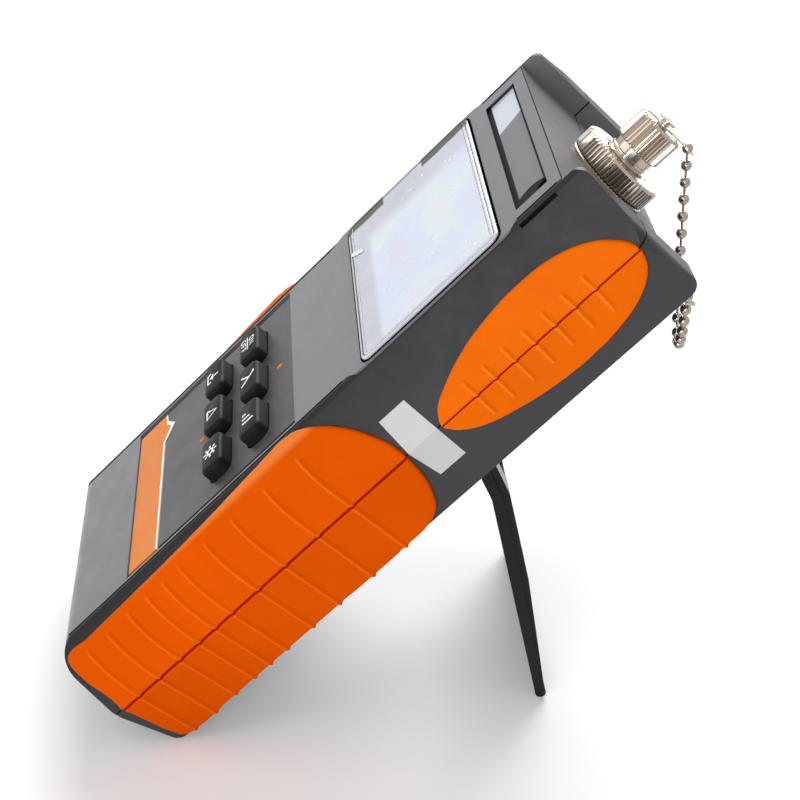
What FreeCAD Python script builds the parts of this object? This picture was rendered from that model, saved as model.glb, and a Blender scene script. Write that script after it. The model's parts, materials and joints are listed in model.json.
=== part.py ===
import FreeCAD, Part

import math
import os
import re

import Sketcher

# Hand-held optical power meter standing on its open kickstand, in millimetres.
#
# Two frames are used.  The housing frame has x to the meter's right, y along its length from the
# lower end (0) to the connector end, and z out of its face, with 0 on the back.  Every piece is
# built there.  The row frame has +Z up from the table, and the meter leans back in it about x.

doc = FreeCAD.newDocument("OpticalPowerMeter")
sheet = doc.addObject("Spreadsheet::Sheet", "Sizes")

SIZES = [
    # housing
    ("body_length", 190.0),        # lower end to the tips of the two guard horns
    ("body_depth", 42.5),          # back to face
    ("back_half", 44.4),           # half width at the back
    ("ridge_half", 48.3),          # half width at the parting ridge
    ("front_half", 38.6),          # half width at the face
    ("ridge_height", 21.0),        # parting plane above the back
    ("belly", 4.2),                # how far the lower end leans out towards the face
    ("round_foot", 3.0),           # rounding of the back lower edge
    ("round_chin", 8.0),           # rounding of the front lower edge
    ("round_brow", 3.0),           # rounding of the horns' front corner
    ("round_nape", 4.0),           # rounding of the horns' back corner
    ("round_rail", 2.0),           # rounding along the long front edges
    ("round_plan", 4.0),           # rounding of the four corners seen from the face
    ("round_least", 0.4),          # smallest rounding of a form moved inwards
    ("wall", 2.2),                 # shell thickness
    ("fit_gap", 0.3),              # clearance between pieces that move or drop in
    ("seat_gap", 0.1),             # clearance round pieces that stay put
    # guard recess that the connector stands in
    ("recess_floor", 184.5),
    ("recess_half", 37.4),
    # face panel
    ("panel_half", 36.6),
    ("panel_top", 184.0),
    ("panel_thick", 2.0),
    ("well_half", 35.4),           # well for the keypad overlay and the band
    ("well_low", 26.8),
    ("well_high", 92.3),
    ("well_depth", 1.5),
    ("overlay_half", 33.4),
    ("overlay_thick", 1.1),
    ("band_low", 27.1),
    ("band_high", 39.0),
    # keys
    ("key_pitch_across", 19.6),
    ("key_pitch_along", 14.6),
    ("key_row_low", 63.7),
    ("key_wide", 16.0),
    ("key_tall", 8.0),
    ("key_corner", 3.0),
    ("key_rise", 3.7),             # above the face
    ("key_travel", 0.8),
    ("key_flange", 1.0),           # lip that keeps the key in
    ("key_flange_thick", 0.8),
    ("mat_half", 32.5),
    ("mat_thick", 1.5),
    ("mat_margin", 9.0),
    ("dome_tall", 1.6),            # soft dome under each key
    ("dome_radius", 3.0),
    # window and display
    ("window_half", 35.8),
    ("window_low", 115.0),
    ("window_high", 163.3),
    ("window_corner", 3.0),
    ("window_rise", 1.0),
    ("window_ledge", 4.0),         # ledge that carries the window
    ("display_half", 31.0),
    ("display_thick", 2.6),
    # name card
    ("card_low", 170.1),
    ("card_high", 180.4),
    ("card_half", 32.4),
    ("card_thick", 0.4),
    ("card_lip", 0.7),             # lip over the card's long edges
    ("card_slot", 1.0),            # height of the slot that it slides in
    ("card_lip_thick", 0.6),
    ("notch_radius", 4.6),
    # inside
    ("board_half", 36.0),
    ("board_low", 10.0),
    ("board_high", 166.0),
    ("board_thick", 1.6),
    # connector
    ("port_height", 18.0),         # connector axis above the back
    ("rim_radius", 12.9),
    ("rim_thick", 1.2),
    ("ring_radius", 12.3),
    ("ring_thick", 5.8),
    ("ring_chamfer_rise", 0.55),
    ("ring_chamfer_run", 1.1),
    ("neck_radius", 6.0),
    ("neck_length", 9.6),
    ("neck_collar", 0.35),         # how far the two collars stand out
    ("collar_wide", 0.6),
    ("groove_wide", 0.5),
    ("barrel_root", 4.4),          # how deep the barrel goes below the recess floor
    ("thread_radius", 5.3),
    ("thread_length", 5.4),
    ("port_bore", 1.25),           # ferrule bore radius
    ("cap_radius", 6.8),
    ("cap_length", 8.4),
    ("cap_roof", 1.6),
    ("cap_chamfer", 0.5),
    ("stud_radius", 1.0),
    ("stud_length", 1.6),
    ("stud_head_radius", 2.7),
    ("stud_head_thick", 0.8),
    ("stud_root", 1.2),            # how deep the stud sits in the cap's roof
    ("tab_thick", 0.4),
    ("tab_reach", 9.5),            # stud axis to the first ball
    ("tab_eye", 2.4),
    ("tab_ring", 2.5),
    ("tab_ring_hole", 1.75),
    ("detector_radius", 8.0),
    ("detector_length", 16.0),
    # ball chain
    ("ball_radius", 1.5),
    ("ball_pole", 60.0),           # latitude of the flat round each hole, in degrees
    ("ball_pitch", 4.46),
    ("link_radius", 0.35),
    ("anchor_inset", 10.3),        # from the parting ridge
    ("anchor_high", 184.0),
    ("anchor_drop", 3.0),          # ball seat below the back
    ("anchor_ring", 2.9),          # outer radius
    ("anchor_wire", 0.6),
    ("anchor_foot", 2.6),
    # soft grips
    ("grip_proud", 1.3),
    ("grip_seam", 0.35),           # half of the gap along the parting plane
    ("oval_low", 120.9),
    ("oval_high", 187.0),
    ("oval_front", 11.4),          # how far it reaches in front of the seam
    ("oval_back", 14.0),
    ("oval_fullness", 1.33),       # how blunt its two ends are
    ("grip_high", 109.0),
    ("grip_low", 1.0),
    ("grip_front_margin", 1.8),    # below the face
    ("grip_corner_low", 92.0),     # where its upper edge leaves the front edge
    ("grip_back_high", 101.0),
    ("grip_front_bulge", 3.0),
    ("grip_back_bulge", 2.0),
    ("grip_wrap", 2.0),            # how far it wraps onto the back
    # blank seal label
    ("label_low", 111.4),
    ("label_high", 120.0),
    ("label_back", 10.8),
    ("label_long", 22.1),
    ("label_thick", 0.25),
    # kickstand
    ("hinge_along", 118.5),
    ("hinge_height", 7.2),
    ("stand_open", 56.5),          # degrees from lying in the back
    ("stand_kink", 11.4),          # degrees between root and leg
    ("stand_root", 21.8),
    ("stand_leg", 69.8),
    ("stand_thick", 3.0),
    ("stand_half", 35.0),
    ("stand_leg_wide", 8.0),
    ("stand_plate", 41.0),         # solid lower part, from the foot
    ("stand_rib", 2.0),
    ("stand_rib_inset", 0.8),
    ("stand_rib_end", 5.0),
    ("stand_eye", 2.8),
    ("round_margin", 0.02),        # keeps the foot's two roundings from meeting
    ("pin_radius", 1.2),
    ("pin_reach", 3.0),            # how far each pin is held in the shell
    ("bay_depth", 5.0),            # bay in the back that the stand folds into
    ("bay_gap", 0.6),
    ("bay_hinge_depth", 10.6),
    ("bay_hinge_long", 5.2),
    ("bay_ramp_gap", 3.0),         # from the stand's bend to where the ramp begins
    # battery bay
    ("cell_radius", 7.1),
    ("cell_length", 50.0),
    ("cell_nub", 1.0),
    ("cell_nub_radius", 2.4),
    ("cell_pitch", 15.2),
    ("cell_first", 42.0),
    ("tray_wall", 1.2),
    ("tray_flange", 2.8),
    ("contact_thick", 0.5),
    ("contact_spring", 2.4),
    ("contact_radius", 3.2),
    ("contact_inset", 1.0),
    ("cover_thick", 1.6),
    ("cover_lip", 1.6),
    # case screws
    ("screw_inset", 15.3),         # from the parting ridge
    ("screw_low", 14.0),
    ("screw_high", 172.0),
    ("screw_shank", 1.3),
    ("screw_head", 2.8),
    ("screw_head_thick", 2.0),
    ("screw_sink", 3.0),           # how deep the head sits below the back
    ("screw_bite", 7.0),           # how far the shank passes the parting plane
    ("boss_radius", 4.4),
]

for row, (alias, size) in enumerate(SIZES, start=1):
    sheet.set("A%d" % row, alias)
    sheet.set("B%d" % row, str(size))
    sheet.setAlias("B%d" % row, alias)
doc.recompute()

NAMES = {alias for alias, _ in SIZES}
ALONG = {
    "x": FreeCAD.Rotation(FreeCAD.Vector(0, 1, 0), 90),
    "y": FreeCAD.Rotation(FreeCAD.Vector(1, 0, 0), -90),
    "z": FreeCAD.Rotation(),
}
PARALLEL = 1e-6                    # how far a direction may stray
NEAR = 0.01                        # how far a place may stray
pieces = {}


# --- helpers -------------------------------------------------------------------------------------

def formula(text):
    """The same text with each size pointing at its cell in the sheet."""
    return re.sub(r"[a-z_]+", lambda m: ("Sizes." if m.group(0) in NAMES else "") + m.group(0), str(text))


def number(text):
    """Value of a formula of sizes."""
    return float(sheet.evalExpression(formula(text)))


def bind(thing, field, text):
    thing.setExpression(field, formula(text))


def block(name, across, along, height):
    """Box between two x, two y and two z formulas."""
    box = doc.addObject("Part::Box", name)
    for field, axis, (low, high) in zip(("Length", "Width", "Height"), "xyz", (across, along, height)):
        bind(box, field, "(%s) - (%s)" % (high, low))
        bind(box, "Placement.Base." + axis, low)
    return box


def rod(name, radius, start, axis, length):
    """Cylinder from a start point towards the plus side of an axis."""
    bar = doc.addObject("Part::Cylinder", name)
    bar.Placement = FreeCAD.Placement(FreeCAD.Vector(), ALONG[axis])
    bind(bar, "Radius", radius)
    bind(bar, "Height", length)
    for letter, text in zip("xyz", start):
        bind(bar, "Placement.Base." + letter, text)
    return bar


def united(name, *parts):
    union = doc.addObject("Part::MultiFuse", name)
    union.Shapes = list(parts)
    union.Refine = True
    return union


def shared(name, *parts):
    overlap = doc.addObject("Part::MultiCommon", name)
    overlap.Shapes = list(parts)
    overlap.Refine = True
    return overlap


def less(name, base, *tools):
    """Base without its tools."""
    result = doc.addObject("Part::Cut", name)
    result.Base = base
    result.Tool = tools[0] if len(tools) == 1 else united(name + "_tools", *tools)
    result.Refine = True
    return result


def plane_of(body, role):
    return next(feature for feature in body.Origin.OriginFeatures if feature.Role == role)


def outline(body, role, points, offset="0"):
    """Closed sketch through points given as formulas, on an origin plane moved along its normal."""
    sketch = body.newObject("Sketcher::SketchObject", body.Name + "_outline")
    sketch.AttachmentSupport = (plane_of(body, role), [""])
    sketch.MapMode = "FlatFace"
    bind(sketch, "AttachmentOffset.Base.z", offset)
    places = [FreeCAD.Vector(number(u), number(v), 0) for u, v in points]
    for here, there in zip(places, places[1:] + places[:1]):
        sketch.addGeometry(Part.LineSegment(here, there))
    last = len(points) - 1
    for index, (u, v) in enumerate(points):
        sketch.addConstraint(Sketcher.Constraint("Coincident", index - 1 if index else last, 2, index, 1))
        for kind, text in (("DistanceX", u), ("DistanceY", v)):
            slot = sketch.addConstraint(Sketcher.Constraint(kind, -1, 1, index, 1, number(text)))
            bind(sketch, "Constraints[%d]" % slot, text)
    return sketch


def prism(name, axis, points, low, high):
    """Body with a polygon padded along an axis between two formulas."""
    body = doc.addObject("PartDesign::Body", name)
    role, offset = {"x": ("YZ_Plane", low), "y": ("XZ_Plane", "-(%s)" % high), "z": ("XY_Plane", low)}[axis]
    sketch = outline(body, role, points, offset)
    pad = body.newObject("PartDesign::Pad", name + "_pad")
    pad.Profile = sketch
    bind(pad, "Length", "(%s) - (%s)" % (high, low))
    doc.recompute()
    return body


def rounded(body, radius, chooser):
    """Fillet on the body's edges that the chooser accepts."""
    tip = body.Tip
    names = ["Edge%d" % (index + 1) for index, edge in enumerate(tip.Shape.Edges) if chooser(edge)]
    fillet = body.newObject("PartDesign::Fillet", body.Name + "_round")
    fillet.Base = (tip, names)
    bind(fillet, "Radius", radius)
    doc.recompute()
    return body


def runs_along(axis, *near):
    """Chooser of straight edges along an axis, at given (u, v) formulas in the two other axes if any."""
    index = "xyz".index(axis)
    spots = [[number(text) for text in spot] for spot in near]

    def chooser(edge):
        if not isinstance(edge.Curve, Part.Line):
            return False
        if abs(abs(edge.tangentAt(edge.FirstParameter)[index]) - 1) > PARALLEL:
            return False
        place = [c for i, c in enumerate(edge.CenterOfMass) if i != index]
        return not spots or any(math.dist(place, spot) < NEAR for spot in spots)
    return chooser


def slab(name, across, along, height, corner=None):
    """Plate between two x, two y and two z formulas, with rounded upright corners."""
    points = [(across[0], along[0]), (across[1], along[0]), (across[1], along[1]), (across[0], along[1])]
    body = prism(name, "z", points, *height)
    return rounded(body, corner, runs_along("z")) if corner else body


def turned(name, points):
    """Body turned about its own y axis from (radius, y) formulas."""
    body = doc.addObject("PartDesign::Body", name)
    sketch = outline(body, "XY_Plane", points)
    turning = body.newObject("PartDesign::Revolution", name + "_turning")
    turning.Profile = sketch
    turning.ReferenceAxis = (plane_of(body, "Y_Axis"), [""])
    turning.Angle = 360
    doc.recompute()
    return body


def feature(name, shape):
    """Plain feature for a shape that neither a body nor a primitive makes."""
    thing = doc.addObject("Part::Feature", name)
    thing.Shape = shape
    return thing


def deliver(label, thing, own=FreeCAD.Placement()):
    """Name a finished piece and stand it in the row frame."""
    thing.Label = label
    pieces[label] = (thing, own)


# --- stance --------------------------------------------------------------------------------------

def stand_point(along, below):
    """Housing-frame (y, z) of a point given in the folded stand's own frame."""
    turn = math.radians(number("stand_open"))
    y = along * math.cos(turn) - below * math.sin(turn)
    z = along * math.sin(turn) + below * math.cos(turn)
    return number("hinge_along") + y, number("hinge_height") + z


def heel_centre():
    """Centre of the rounding where the back meets the leaning lower end."""
    tilt = math.atan2(number("belly"), number("body_depth"))
    radius = number("round_foot")
    return radius * (1 - math.sin(tilt)) / math.cos(tilt), radius


def lean_angle():
    """Lean at which the rounded back edge and the stand's rounded foot touch one floor."""
    kink = math.radians(number("stand_kink"))
    tip = number("stand_root") * math.cos(kink) + number("stand_leg") - number("stand_thick / 2")
    foot_y, foot_z = stand_point(-tip, -number("stand_root") * math.sin(kink))
    heel_y, heel_z = heel_centre()
    dy, dz = foot_y - heel_y, foot_z - heel_z
    drop = number("stand_thick / 2 - round_foot")
    return math.asin(drop / math.hypot(dy, dz)) - math.atan2(dz, dy)


def heel_lift():
    """Height that brings the lowest line of the back edge down to the floor."""
    heel_y, heel_z = heel_centre()
    return number("round_foot") - heel_y * math.sin(LEAN) - heel_z * math.cos(LEAN)


LEAN = lean_angle()
STANCE = FreeCAD.Placement(
    FreeCAD.Vector(0, 0, heel_lift()),
    FreeCAD.Rotation(FreeCAD.Vector(1, 0, 0), math.degrees(LEAN)),
)


# --- housing -------------------------------------------------------------------------------------

ALL_X = ("-2 * ridge_half", "2 * ridge_half")
ALL_Y = ("-body_length", "2 * body_length")
ALL_Z = ("-body_depth", "2 * body_depth")
FROM_RIDGE = ("ridge_height", "2 * body_depth")


def envelope(name, grow="0"):
    """Outer form of the meter, moved outwards by a formula."""
    low, high = "-(%s)" % grow, "body_depth + (%s)" % grow
    tip = "body_length + (%s)" % grow
    heel, chin = "-(%s)" % grow, "-belly - (%s)" % grow
    back, ridge, front = ("%s_half + (%s)" % (part, grow) for part in ("back", "ridge", "front"))
    side = prism(name + "_side", "x", [(heel, low), (tip, low), (tip, high), (chin, high)], *ALL_X)
    for radius, spot in (("round_foot", (heel, low)), ("round_nape", (tip, low)),
                         ("round_brow", (tip, high)), ("round_chin", (chin, high))):
        rounded(side, "max(%s + (%s); round_least)" % (radius, grow), runs_along("x", spot))
    across = prism(name + "_across", "y", [
        ("-(%s)" % back, low), (back, low), (ridge, "ridge_height"), (front, high),
        ("-(%s)" % front, high), ("-(%s)" % ridge, "ridge_height")], *ALL_Y)
    rounded(across, "max(round_rail + (%s); round_least)" % grow,
            runs_along("y", ("-(%s)" % front, high), (front, high)))
    plan = slab(name + "_plan", ("-(%s)" % ridge, ridge), (chin, tip), ALL_Z,
                "max(round_plan + (%s); round_least)" % grow)
    return shared(name, side, across, plan)


PANEL_FLOOR = "(body_depth - panel_thick)"
DECK_UNDER = "(body_depth - panel_thick - wall)"


def key_places():
    """Name, x and y formulas of the six keys."""
    names = (("load", "reference", "backlight"), ("power", "wavelength", "unit"))
    for row, group in enumerate(names):
        for column, name in enumerate(group, start=-1):
            yield name, "%d * key_pitch_across" % column, "key_row_low + %d * key_pitch_along" % row


def key_holes(tag, low, high):
    return [block("hole_%s_%s" % (tag, name),
                  ("%s - key_wide / 2 - fit_gap" % x, "%s + key_wide / 2 + fit_gap" % x),
                  ("%s - key_tall / 2 - fit_gap" % y, "%s + key_tall / 2 + fit_gap" % y),
                  (low, high)) for name, x, y in key_places()]


def screw_places():
    for along in ("screw_low", "screw_high"):
        for side in (-1, 1):
            yield "%d * (ridge_half - screw_inset)" % side, along


def cavity(name):
    """Hollow of the two shells, below the deck and short of the recess floor."""
    room = block(name + "_room", ALL_X, ("wall - belly", "recess_floor - wall"), ("wall", DECK_UNDER))
    return shared(name, envelope(name + "_form", "-wall"), room)


CARD_SLOT_LOW = "(body_depth - card_lip_thick - card_slot)"
CARD_SLOT_HIGH = "(body_depth - card_lip_thick)"


def card_slot(name):
    """Slot for the name card, open on the meter's right side."""
    return block(name, ("-card_half - fit_gap", "2 * ridge_half"),
                 ("card_low - card_lip", "card_high + card_lip"), (CARD_SLOT_LOW, CARD_SLOT_HIGH))


def front_shell():
    half = shared("front_half_form", envelope("front_form"),
                  block("front_side", ALL_X, ALL_Y, ("ridge_height", "2 * body_depth")))
    hollow = less("front_hollow", half, cavity("front_cavity"))
    bosses = [shared("front_boss_%d" % index,
                     rod("front_boss_rod_%d" % index, "boss_radius", (x, y, "ridge_height"), "z",
                         "(%s) - ridge_height + wall / 2" % DECK_UNDER),
                     envelope("front_boss_form_%d" % index, "-wall / 2"))
              for index, (x, y) in enumerate(screw_places())]
    tools = [
        block("panel_seat", ("-panel_half - fit_gap", "panel_half + fit_gap"),
              ("-body_length", "panel_top + fit_gap"), (PANEL_FLOOR, "2 * body_depth")),
        block("front_recess", ("-recess_half", "recess_half"), ("recess_floor", "2 * body_length"),
              ("0", "2 * body_depth")),
        block("window_hole", ("-window_half + window_ledge", "window_half - window_ledge"),
              ("window_low + window_ledge", "window_high - window_ledge"), FROM_RIDGE),
        rod("port_hole_front", "neck_radius + seat_gap", ("0", "recess_floor - 2 * wall", "port_height"), "y",
            "3 * wall"),
        card_slot("card_slot_shell"),
    ]
    tools += key_holes("shell", *FROM_RIDGE)
    tools += [rod("front_screw_hole_%d" % index, "screw_shank", (x, y, "ridge_height"), "z",
                  "screw_bite + seat_gap") for index, (x, y) in enumerate(screw_places())]
    deliver("front_shell", less("front_shell_cut", united("front_shell_sum", hollow, *bosses), *tools))


BAY_HALF = "(stand_half + bay_gap)"
STAND_LONG = "(stand_root * cos(stand_kink) + stand_leg)"
BAY_LOW = "(hinge_along - %s - bay_gap)" % STAND_LONG
COVER_LOW = "(cell_first - cell_radius - fit_gap)"
COVER_HIGH = "(cell_first + 2 * cell_pitch + cell_radius + fit_gap)"
COVER_HALF = "(cell_length / 2 + contact_thick + contact_spring)"
TRAY_FLOOR = "(bay_depth + cover_thick + fit_gap + 2 * cell_radius + fit_gap)"


def hinge_ramp(name, grow, low, across):
    """Deep end of the bay, sloping up to the hinge above the stand's bent root."""
    start = "hinge_along - stand_root * cos(stand_kink) - bay_ramp_gap - " + grow
    near, far = "hinge_along - bay_hinge_long - " + grow, "hinge_along + bay_hinge_long + " + grow
    high = "bay_hinge_depth + " + grow
    return prism(name, "x", [
        (start, low), (start, "bay_depth + " + grow), (near, high), (far, high), (far, low)], *across)


def rear_shell():
    half = shared("rear_half_form", envelope("rear_form"),
                  block("rear_side", ALL_X, ALL_Y, ("-body_depth", "ridge_height")))
    hollow = less("rear_hollow", half, cavity("rear_cavity"))
    pan = block("bay_pan", ("-%s - wall" % BAY_HALF, "%s + wall" % BAY_HALF),
                (BAY_LOW + " - wall", "hinge_along + bay_hinge_long + wall"),
                ("wall / 2", "bay_depth + wall"))
    hinge_pan = hinge_ramp("hinge_pan", "wall", "wall / 2",
                           ("-%s - pin_reach" % BAY_HALF, "%s + pin_reach" % BAY_HALF))
    bosses = [rod("rear_boss_%d" % index, "boss_radius", (x, y, "wall / 2"), "z", "ridge_height - wall / 2")
              for index, (x, y) in enumerate(screw_places())]
    tools = [
        block("bay", ("-" + BAY_HALF, BAY_HALF), (BAY_LOW, "hinge_along + bay_hinge_long"),
              ("-body_depth", "bay_depth")),
        hinge_ramp("hinge_bay", "0", "0", ("-" + BAY_HALF, BAY_HALF)),
        block("rear_recess", ("-recess_half", "recess_half"), ("recess_floor", "2 * body_length"),
              ("-body_depth", "body_depth")),
        block("cover_hole", ("-%s - cover_lip" % COVER_HALF, "%s + cover_lip" % COVER_HALF),
              (COVER_LOW + " - cover_lip", COVER_HIGH + " + cover_lip"),
              ("0", "2 * bay_depth + wall")),
        rod("port_hole_rear", "neck_radius + seat_gap", ("0", "recess_floor - 2 * wall", "port_height"), "y",
            "3 * wall"),
        rod("pin_hole", "pin_radius", ("-%s - pin_reach" % BAY_HALF, "hinge_along", "hinge_height"), "x",
            "2 * (%s + pin_reach)" % BAY_HALF),
    ]
    for index, (x, y) in enumerate(screw_places()):
        tools.append(rod("rear_screw_hole_%d" % index, "screw_shank + seat_gap", (x, y, "-wall"), "z",
                         "2 * ridge_height"))
        tools.append(rod("rear_screw_sink_%d" % index, "screw_head + seat_gap", (x, y, "-wall"), "z",
                         "wall + screw_sink + screw_head_thick"))
    solid = united("rear_shell_sum", hollow, pan, hinge_pan, *bosses)
    deliver("rear_shell", less("rear_shell_cut", solid, *tools))


def case_screws():
    for index, (x, y) in enumerate(screw_places(), start=1):
        shank = rod("shank_%d" % index, "screw_shank", (x, y, "screw_sink"), "z",
                    "ridge_height - screw_sink + screw_bite")
        head = rod("head_%d" % index, "screw_head", (x, y, "screw_sink"), "z", "screw_head_thick")
        deliver("case_screw_%d" % index, united("screw_%d" % index, shank, head))


def face_panel():
    body = shared("panel_form", envelope("panel_envelope"),
                  block("panel_slab", ("-panel_half", "panel_half"), ("-body_length", "panel_top"),
                        (PANEL_FLOOR, "2 * body_depth")))
    tools = [
        block("overlay_well", ("-well_half", "well_half"), ("well_low", "well_high"),
              ("body_depth - well_depth", "2 * body_depth")),
        slab("window_seat", ("-window_half - seat_gap", "window_half + seat_gap"),
             ("window_low - seat_gap", "window_high + seat_gap"), FROM_RIDGE, "window_corner"),
        block("card_window", ("-card_half + card_lip", "card_half"), ("card_low", "card_high"),
              (CARD_SLOT_LOW, "2 * body_depth")),
        card_slot("card_slot_panel"),
    ]
    tools += key_holes("panel", *FROM_RIDGE)
    deliver("face_panel", less("panel_cut", body, *tools))


def overlays():
    low = "body_depth - well_depth"
    across, height = ("-overlay_half", "overlay_half"), (low, low + " + overlay_thick")
    overlay = slab("overlay_sheet", across, ("band_high", "well_high - fit_gap"), height)
    deliver("keypad_overlay", less("overlay_cut", overlay, *key_holes("overlay", *FROM_RIDGE)))
    deliver("band_strip", slab("band_sheet", across, ("band_low", "band_high"), height))


KEY_SEAT = "(%s - fit_gap)" % DECK_UNDER


def keys():
    for name, x, y in key_places():
        cap = slab("key_%s_cap" % name, ("%s - key_wide / 2" % x, "%s + key_wide / 2" % x),
                   ("%s - key_tall / 2" % y, "%s + key_tall / 2" % y),
                   ("%s - key_flange_thick" % KEY_SEAT, "body_depth + key_rise"), "key_corner")
        lip = block("key_%s_lip" % name,
                    ("%s - key_wide / 2 - key_flange" % x, "%s + key_wide / 2 + key_flange" % x),
                    ("%s - key_tall / 2 - key_flange" % y, "%s + key_tall / 2 + key_flange" % y),
                    ("%s - key_flange_thick" % KEY_SEAT, KEY_SEAT))
        deliver("key_" + name, united("key_%s_sum" % name, cap, lip))


def keypad_mat():
    """Soft mat on the board with one dome under each key."""
    top = "(%s - key_flange_thick - dome_tall - fit_gap)" % KEY_SEAT
    mat = block("mat_sheet", ("-mat_half", "mat_half"),
                ("key_row_low - mat_margin", "key_row_low + key_pitch_along + mat_margin"),
                (top + " - mat_thick", top))
    domes = [rod("dome_" + name, "dome_radius", (x, y, top + " - mat_thick / 2"), "z",
                 "mat_thick / 2 + dome_tall - key_travel") for name, x, y in key_places()]
    deliver("keypad_mat", united("mat_sum", mat, *domes))


BOARD_TOP = "(%s - key_flange_thick - dome_tall - fit_gap - mat_thick)" % KEY_SEAT


def main_board():
    """Circuit board that the mat and the display stand on, notched round the case bosses."""
    board = slab("board_sheet", ("-board_half", "board_half"), ("board_low", "board_high"),
                 (BOARD_TOP + " - board_thick", BOARD_TOP), "round_plan")
    notches = [rod("board_notch_%d" % index, "boss_radius + fit_gap", (x, y, "ridge_height"), "z",
                   "body_depth") for index, (x, y) in enumerate(screw_places())]
    deliver("main_board", less("board_cut", board, *notches))


def display():
    inner = "window_ledge + fit_gap"
    across = ("-display_half", "display_half")
    along = ("window_low + " + inner, "window_high - (%s)" % inner)
    top = PANEL_FLOOR
    window = slab("window_sheet", ("-window_half", "window_half"), ("window_low", "window_high"),
                  (top, "body_depth + window_rise"), "window_corner")
    deliver("screen_window", window)
    deliver("lcd_glass", slab("lcd_sheet", across, along, (top + " - display_thick", top)))
    deliver("lcd_backlight", slab("backlight_sheet", across, along,
                                  (BOARD_TOP, top + " - display_thick")))


def name_card():
    card = slab("card_sheet", ("-card_half", "front_half - seat_gap"),
                ("card_low - card_lip + fit_gap", "card_high + card_lip - fit_gap"),
                (CARD_SLOT_LOW + " + fit_gap", CARD_SLOT_LOW + " + fit_gap + card_thick"))
    notch = rod("card_notch", "notch_radius", ("card_half", "card_high", CARD_SLOT_LOW), "z", "2 * card_slot")
    deliver("name_card", less("card_cut", card, notch))


# --- connector -----------------------------------------------------------------------------------

PORT = FreeCAD.Placement(FreeCAD.Vector(0, 0, number("port_height")), FreeCAD.Rotation())
NECK_TOP = "(recess_floor + rim_thick + ring_thick + neck_length - thread_length)"
CAP_LOW = NECK_TOP
CAP_HIGH = "(%s + cap_length)" % CAP_LOW
TAB_LOW = "(%s + fit_gap)" % CAP_HIGH


def connector():
    floor = "recess_floor"
    rim_top = "recess_floor + rim_thick"
    ring_top = rim_top + " + ring_thick"
    inner = "neck_radius + seat_gap"
    deliver("connector_rim", turned("rim", [
        (inner, floor), ("rim_radius", floor), ("rim_radius", rim_top), (inner, rim_top)]), PORT)
    deliver("adapter_ring", turned("ring", [
        ("neck_radius + fit_gap", rim_top + " + seat_gap"), ("ring_radius", rim_top + " + seat_gap"),
        ("ring_radius", ring_top + " - ring_chamfer_rise"), ("ring_radius - ring_chamfer_run", ring_top),
        ("neck_radius + fit_gap", ring_top)]), PORT)
    thread_top = NECK_TOP + " + thread_length"
    groove = "neck_radius - neck_collar"
    root = floor + " - barrel_root"
    first = ring_top + " + collar_wide"
    second = first + " + groove_wide"
    third = second + " + collar_wide"
    deliver("adapter_barrel", turned("barrel", [
        ("port_bore", root), ("neck_radius", root), ("neck_radius", first), (groove, first),
        (groove, second), ("neck_radius", second), ("neck_radius", third), (groove, third),
        (groove, NECK_TOP + " - fit_gap"),
        ("thread_radius", NECK_TOP + " - fit_gap"), ("thread_radius", thread_top),
        ("port_bore", thread_top)]), PORT)
    bore = "thread_radius + fit_gap"
    deliver("dust_cap", turned("cap", [
        (bore, CAP_LOW), ("cap_radius", CAP_LOW), ("cap_radius", CAP_HIGH + " - cap_chamfer"),
        ("cap_radius - cap_chamfer", CAP_HIGH), ("stud_radius", CAP_HIGH),
        ("stud_radius", CAP_HIGH + " - stud_root"), ("0", CAP_HIGH + " - stud_root"),
        ("0", CAP_HIGH + " - cap_roof"), (bore, CAP_HIGH + " - cap_roof")]), PORT)
    head = CAP_HIGH + " + stud_length"
    deliver("cap_stud", turned("stud", [
        ("0", CAP_HIGH + " - stud_root"), ("stud_radius", CAP_HIGH + " - stud_root"),
        ("stud_radius", head), ("stud_head_radius", head),
        ("stud_head_radius", head + " + stud_head_thick"), ("0", head + " + stud_head_thick")]), PORT)
    low = root + " - detector_length"
    deliver("detector_module", turned("detector", [
        ("0", low), ("detector_radius", low), ("detector_radius", root), ("0", root)]), PORT)


def swivel_tab():
    """Thin teardrop tab: an eye round the stud, a neck, and a ring round the first ball."""
    axis = "port_height"
    far = "port_height - tab_reach"
    eye = rod("tab_eye_disc", "tab_eye", ("0", TAB_LOW, axis), "y", "tab_thick")
    ring = rod("tab_ring_disc", "tab_ring", ("0", TAB_LOW, far), "y", "tab_thick")
    strap = block("tab_strap", ("-tab_eye / 2", "tab_eye / 2"), (TAB_LOW, TAB_LOW + " + tab_thick"),
                  (far, axis))
    below, through = TAB_LOW + " - tab_thick", "3 * tab_thick"
    holes = [rod("tab_eye_hole", "stud_radius + fit_gap", ("0", below, axis), "y", through),
             rod("tab_ring_bore", "tab_ring_hole", ("0", below, far), "y", through)]
    deliver("swivel_tab", less("tab_cut", united("tab_sum", eye, ring, strap), *holes))


TIGHTEST, SLACKEST = 60, 60        # range searched for the chain's curve, as shares of its span
SETTLED = 1e-9


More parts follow.
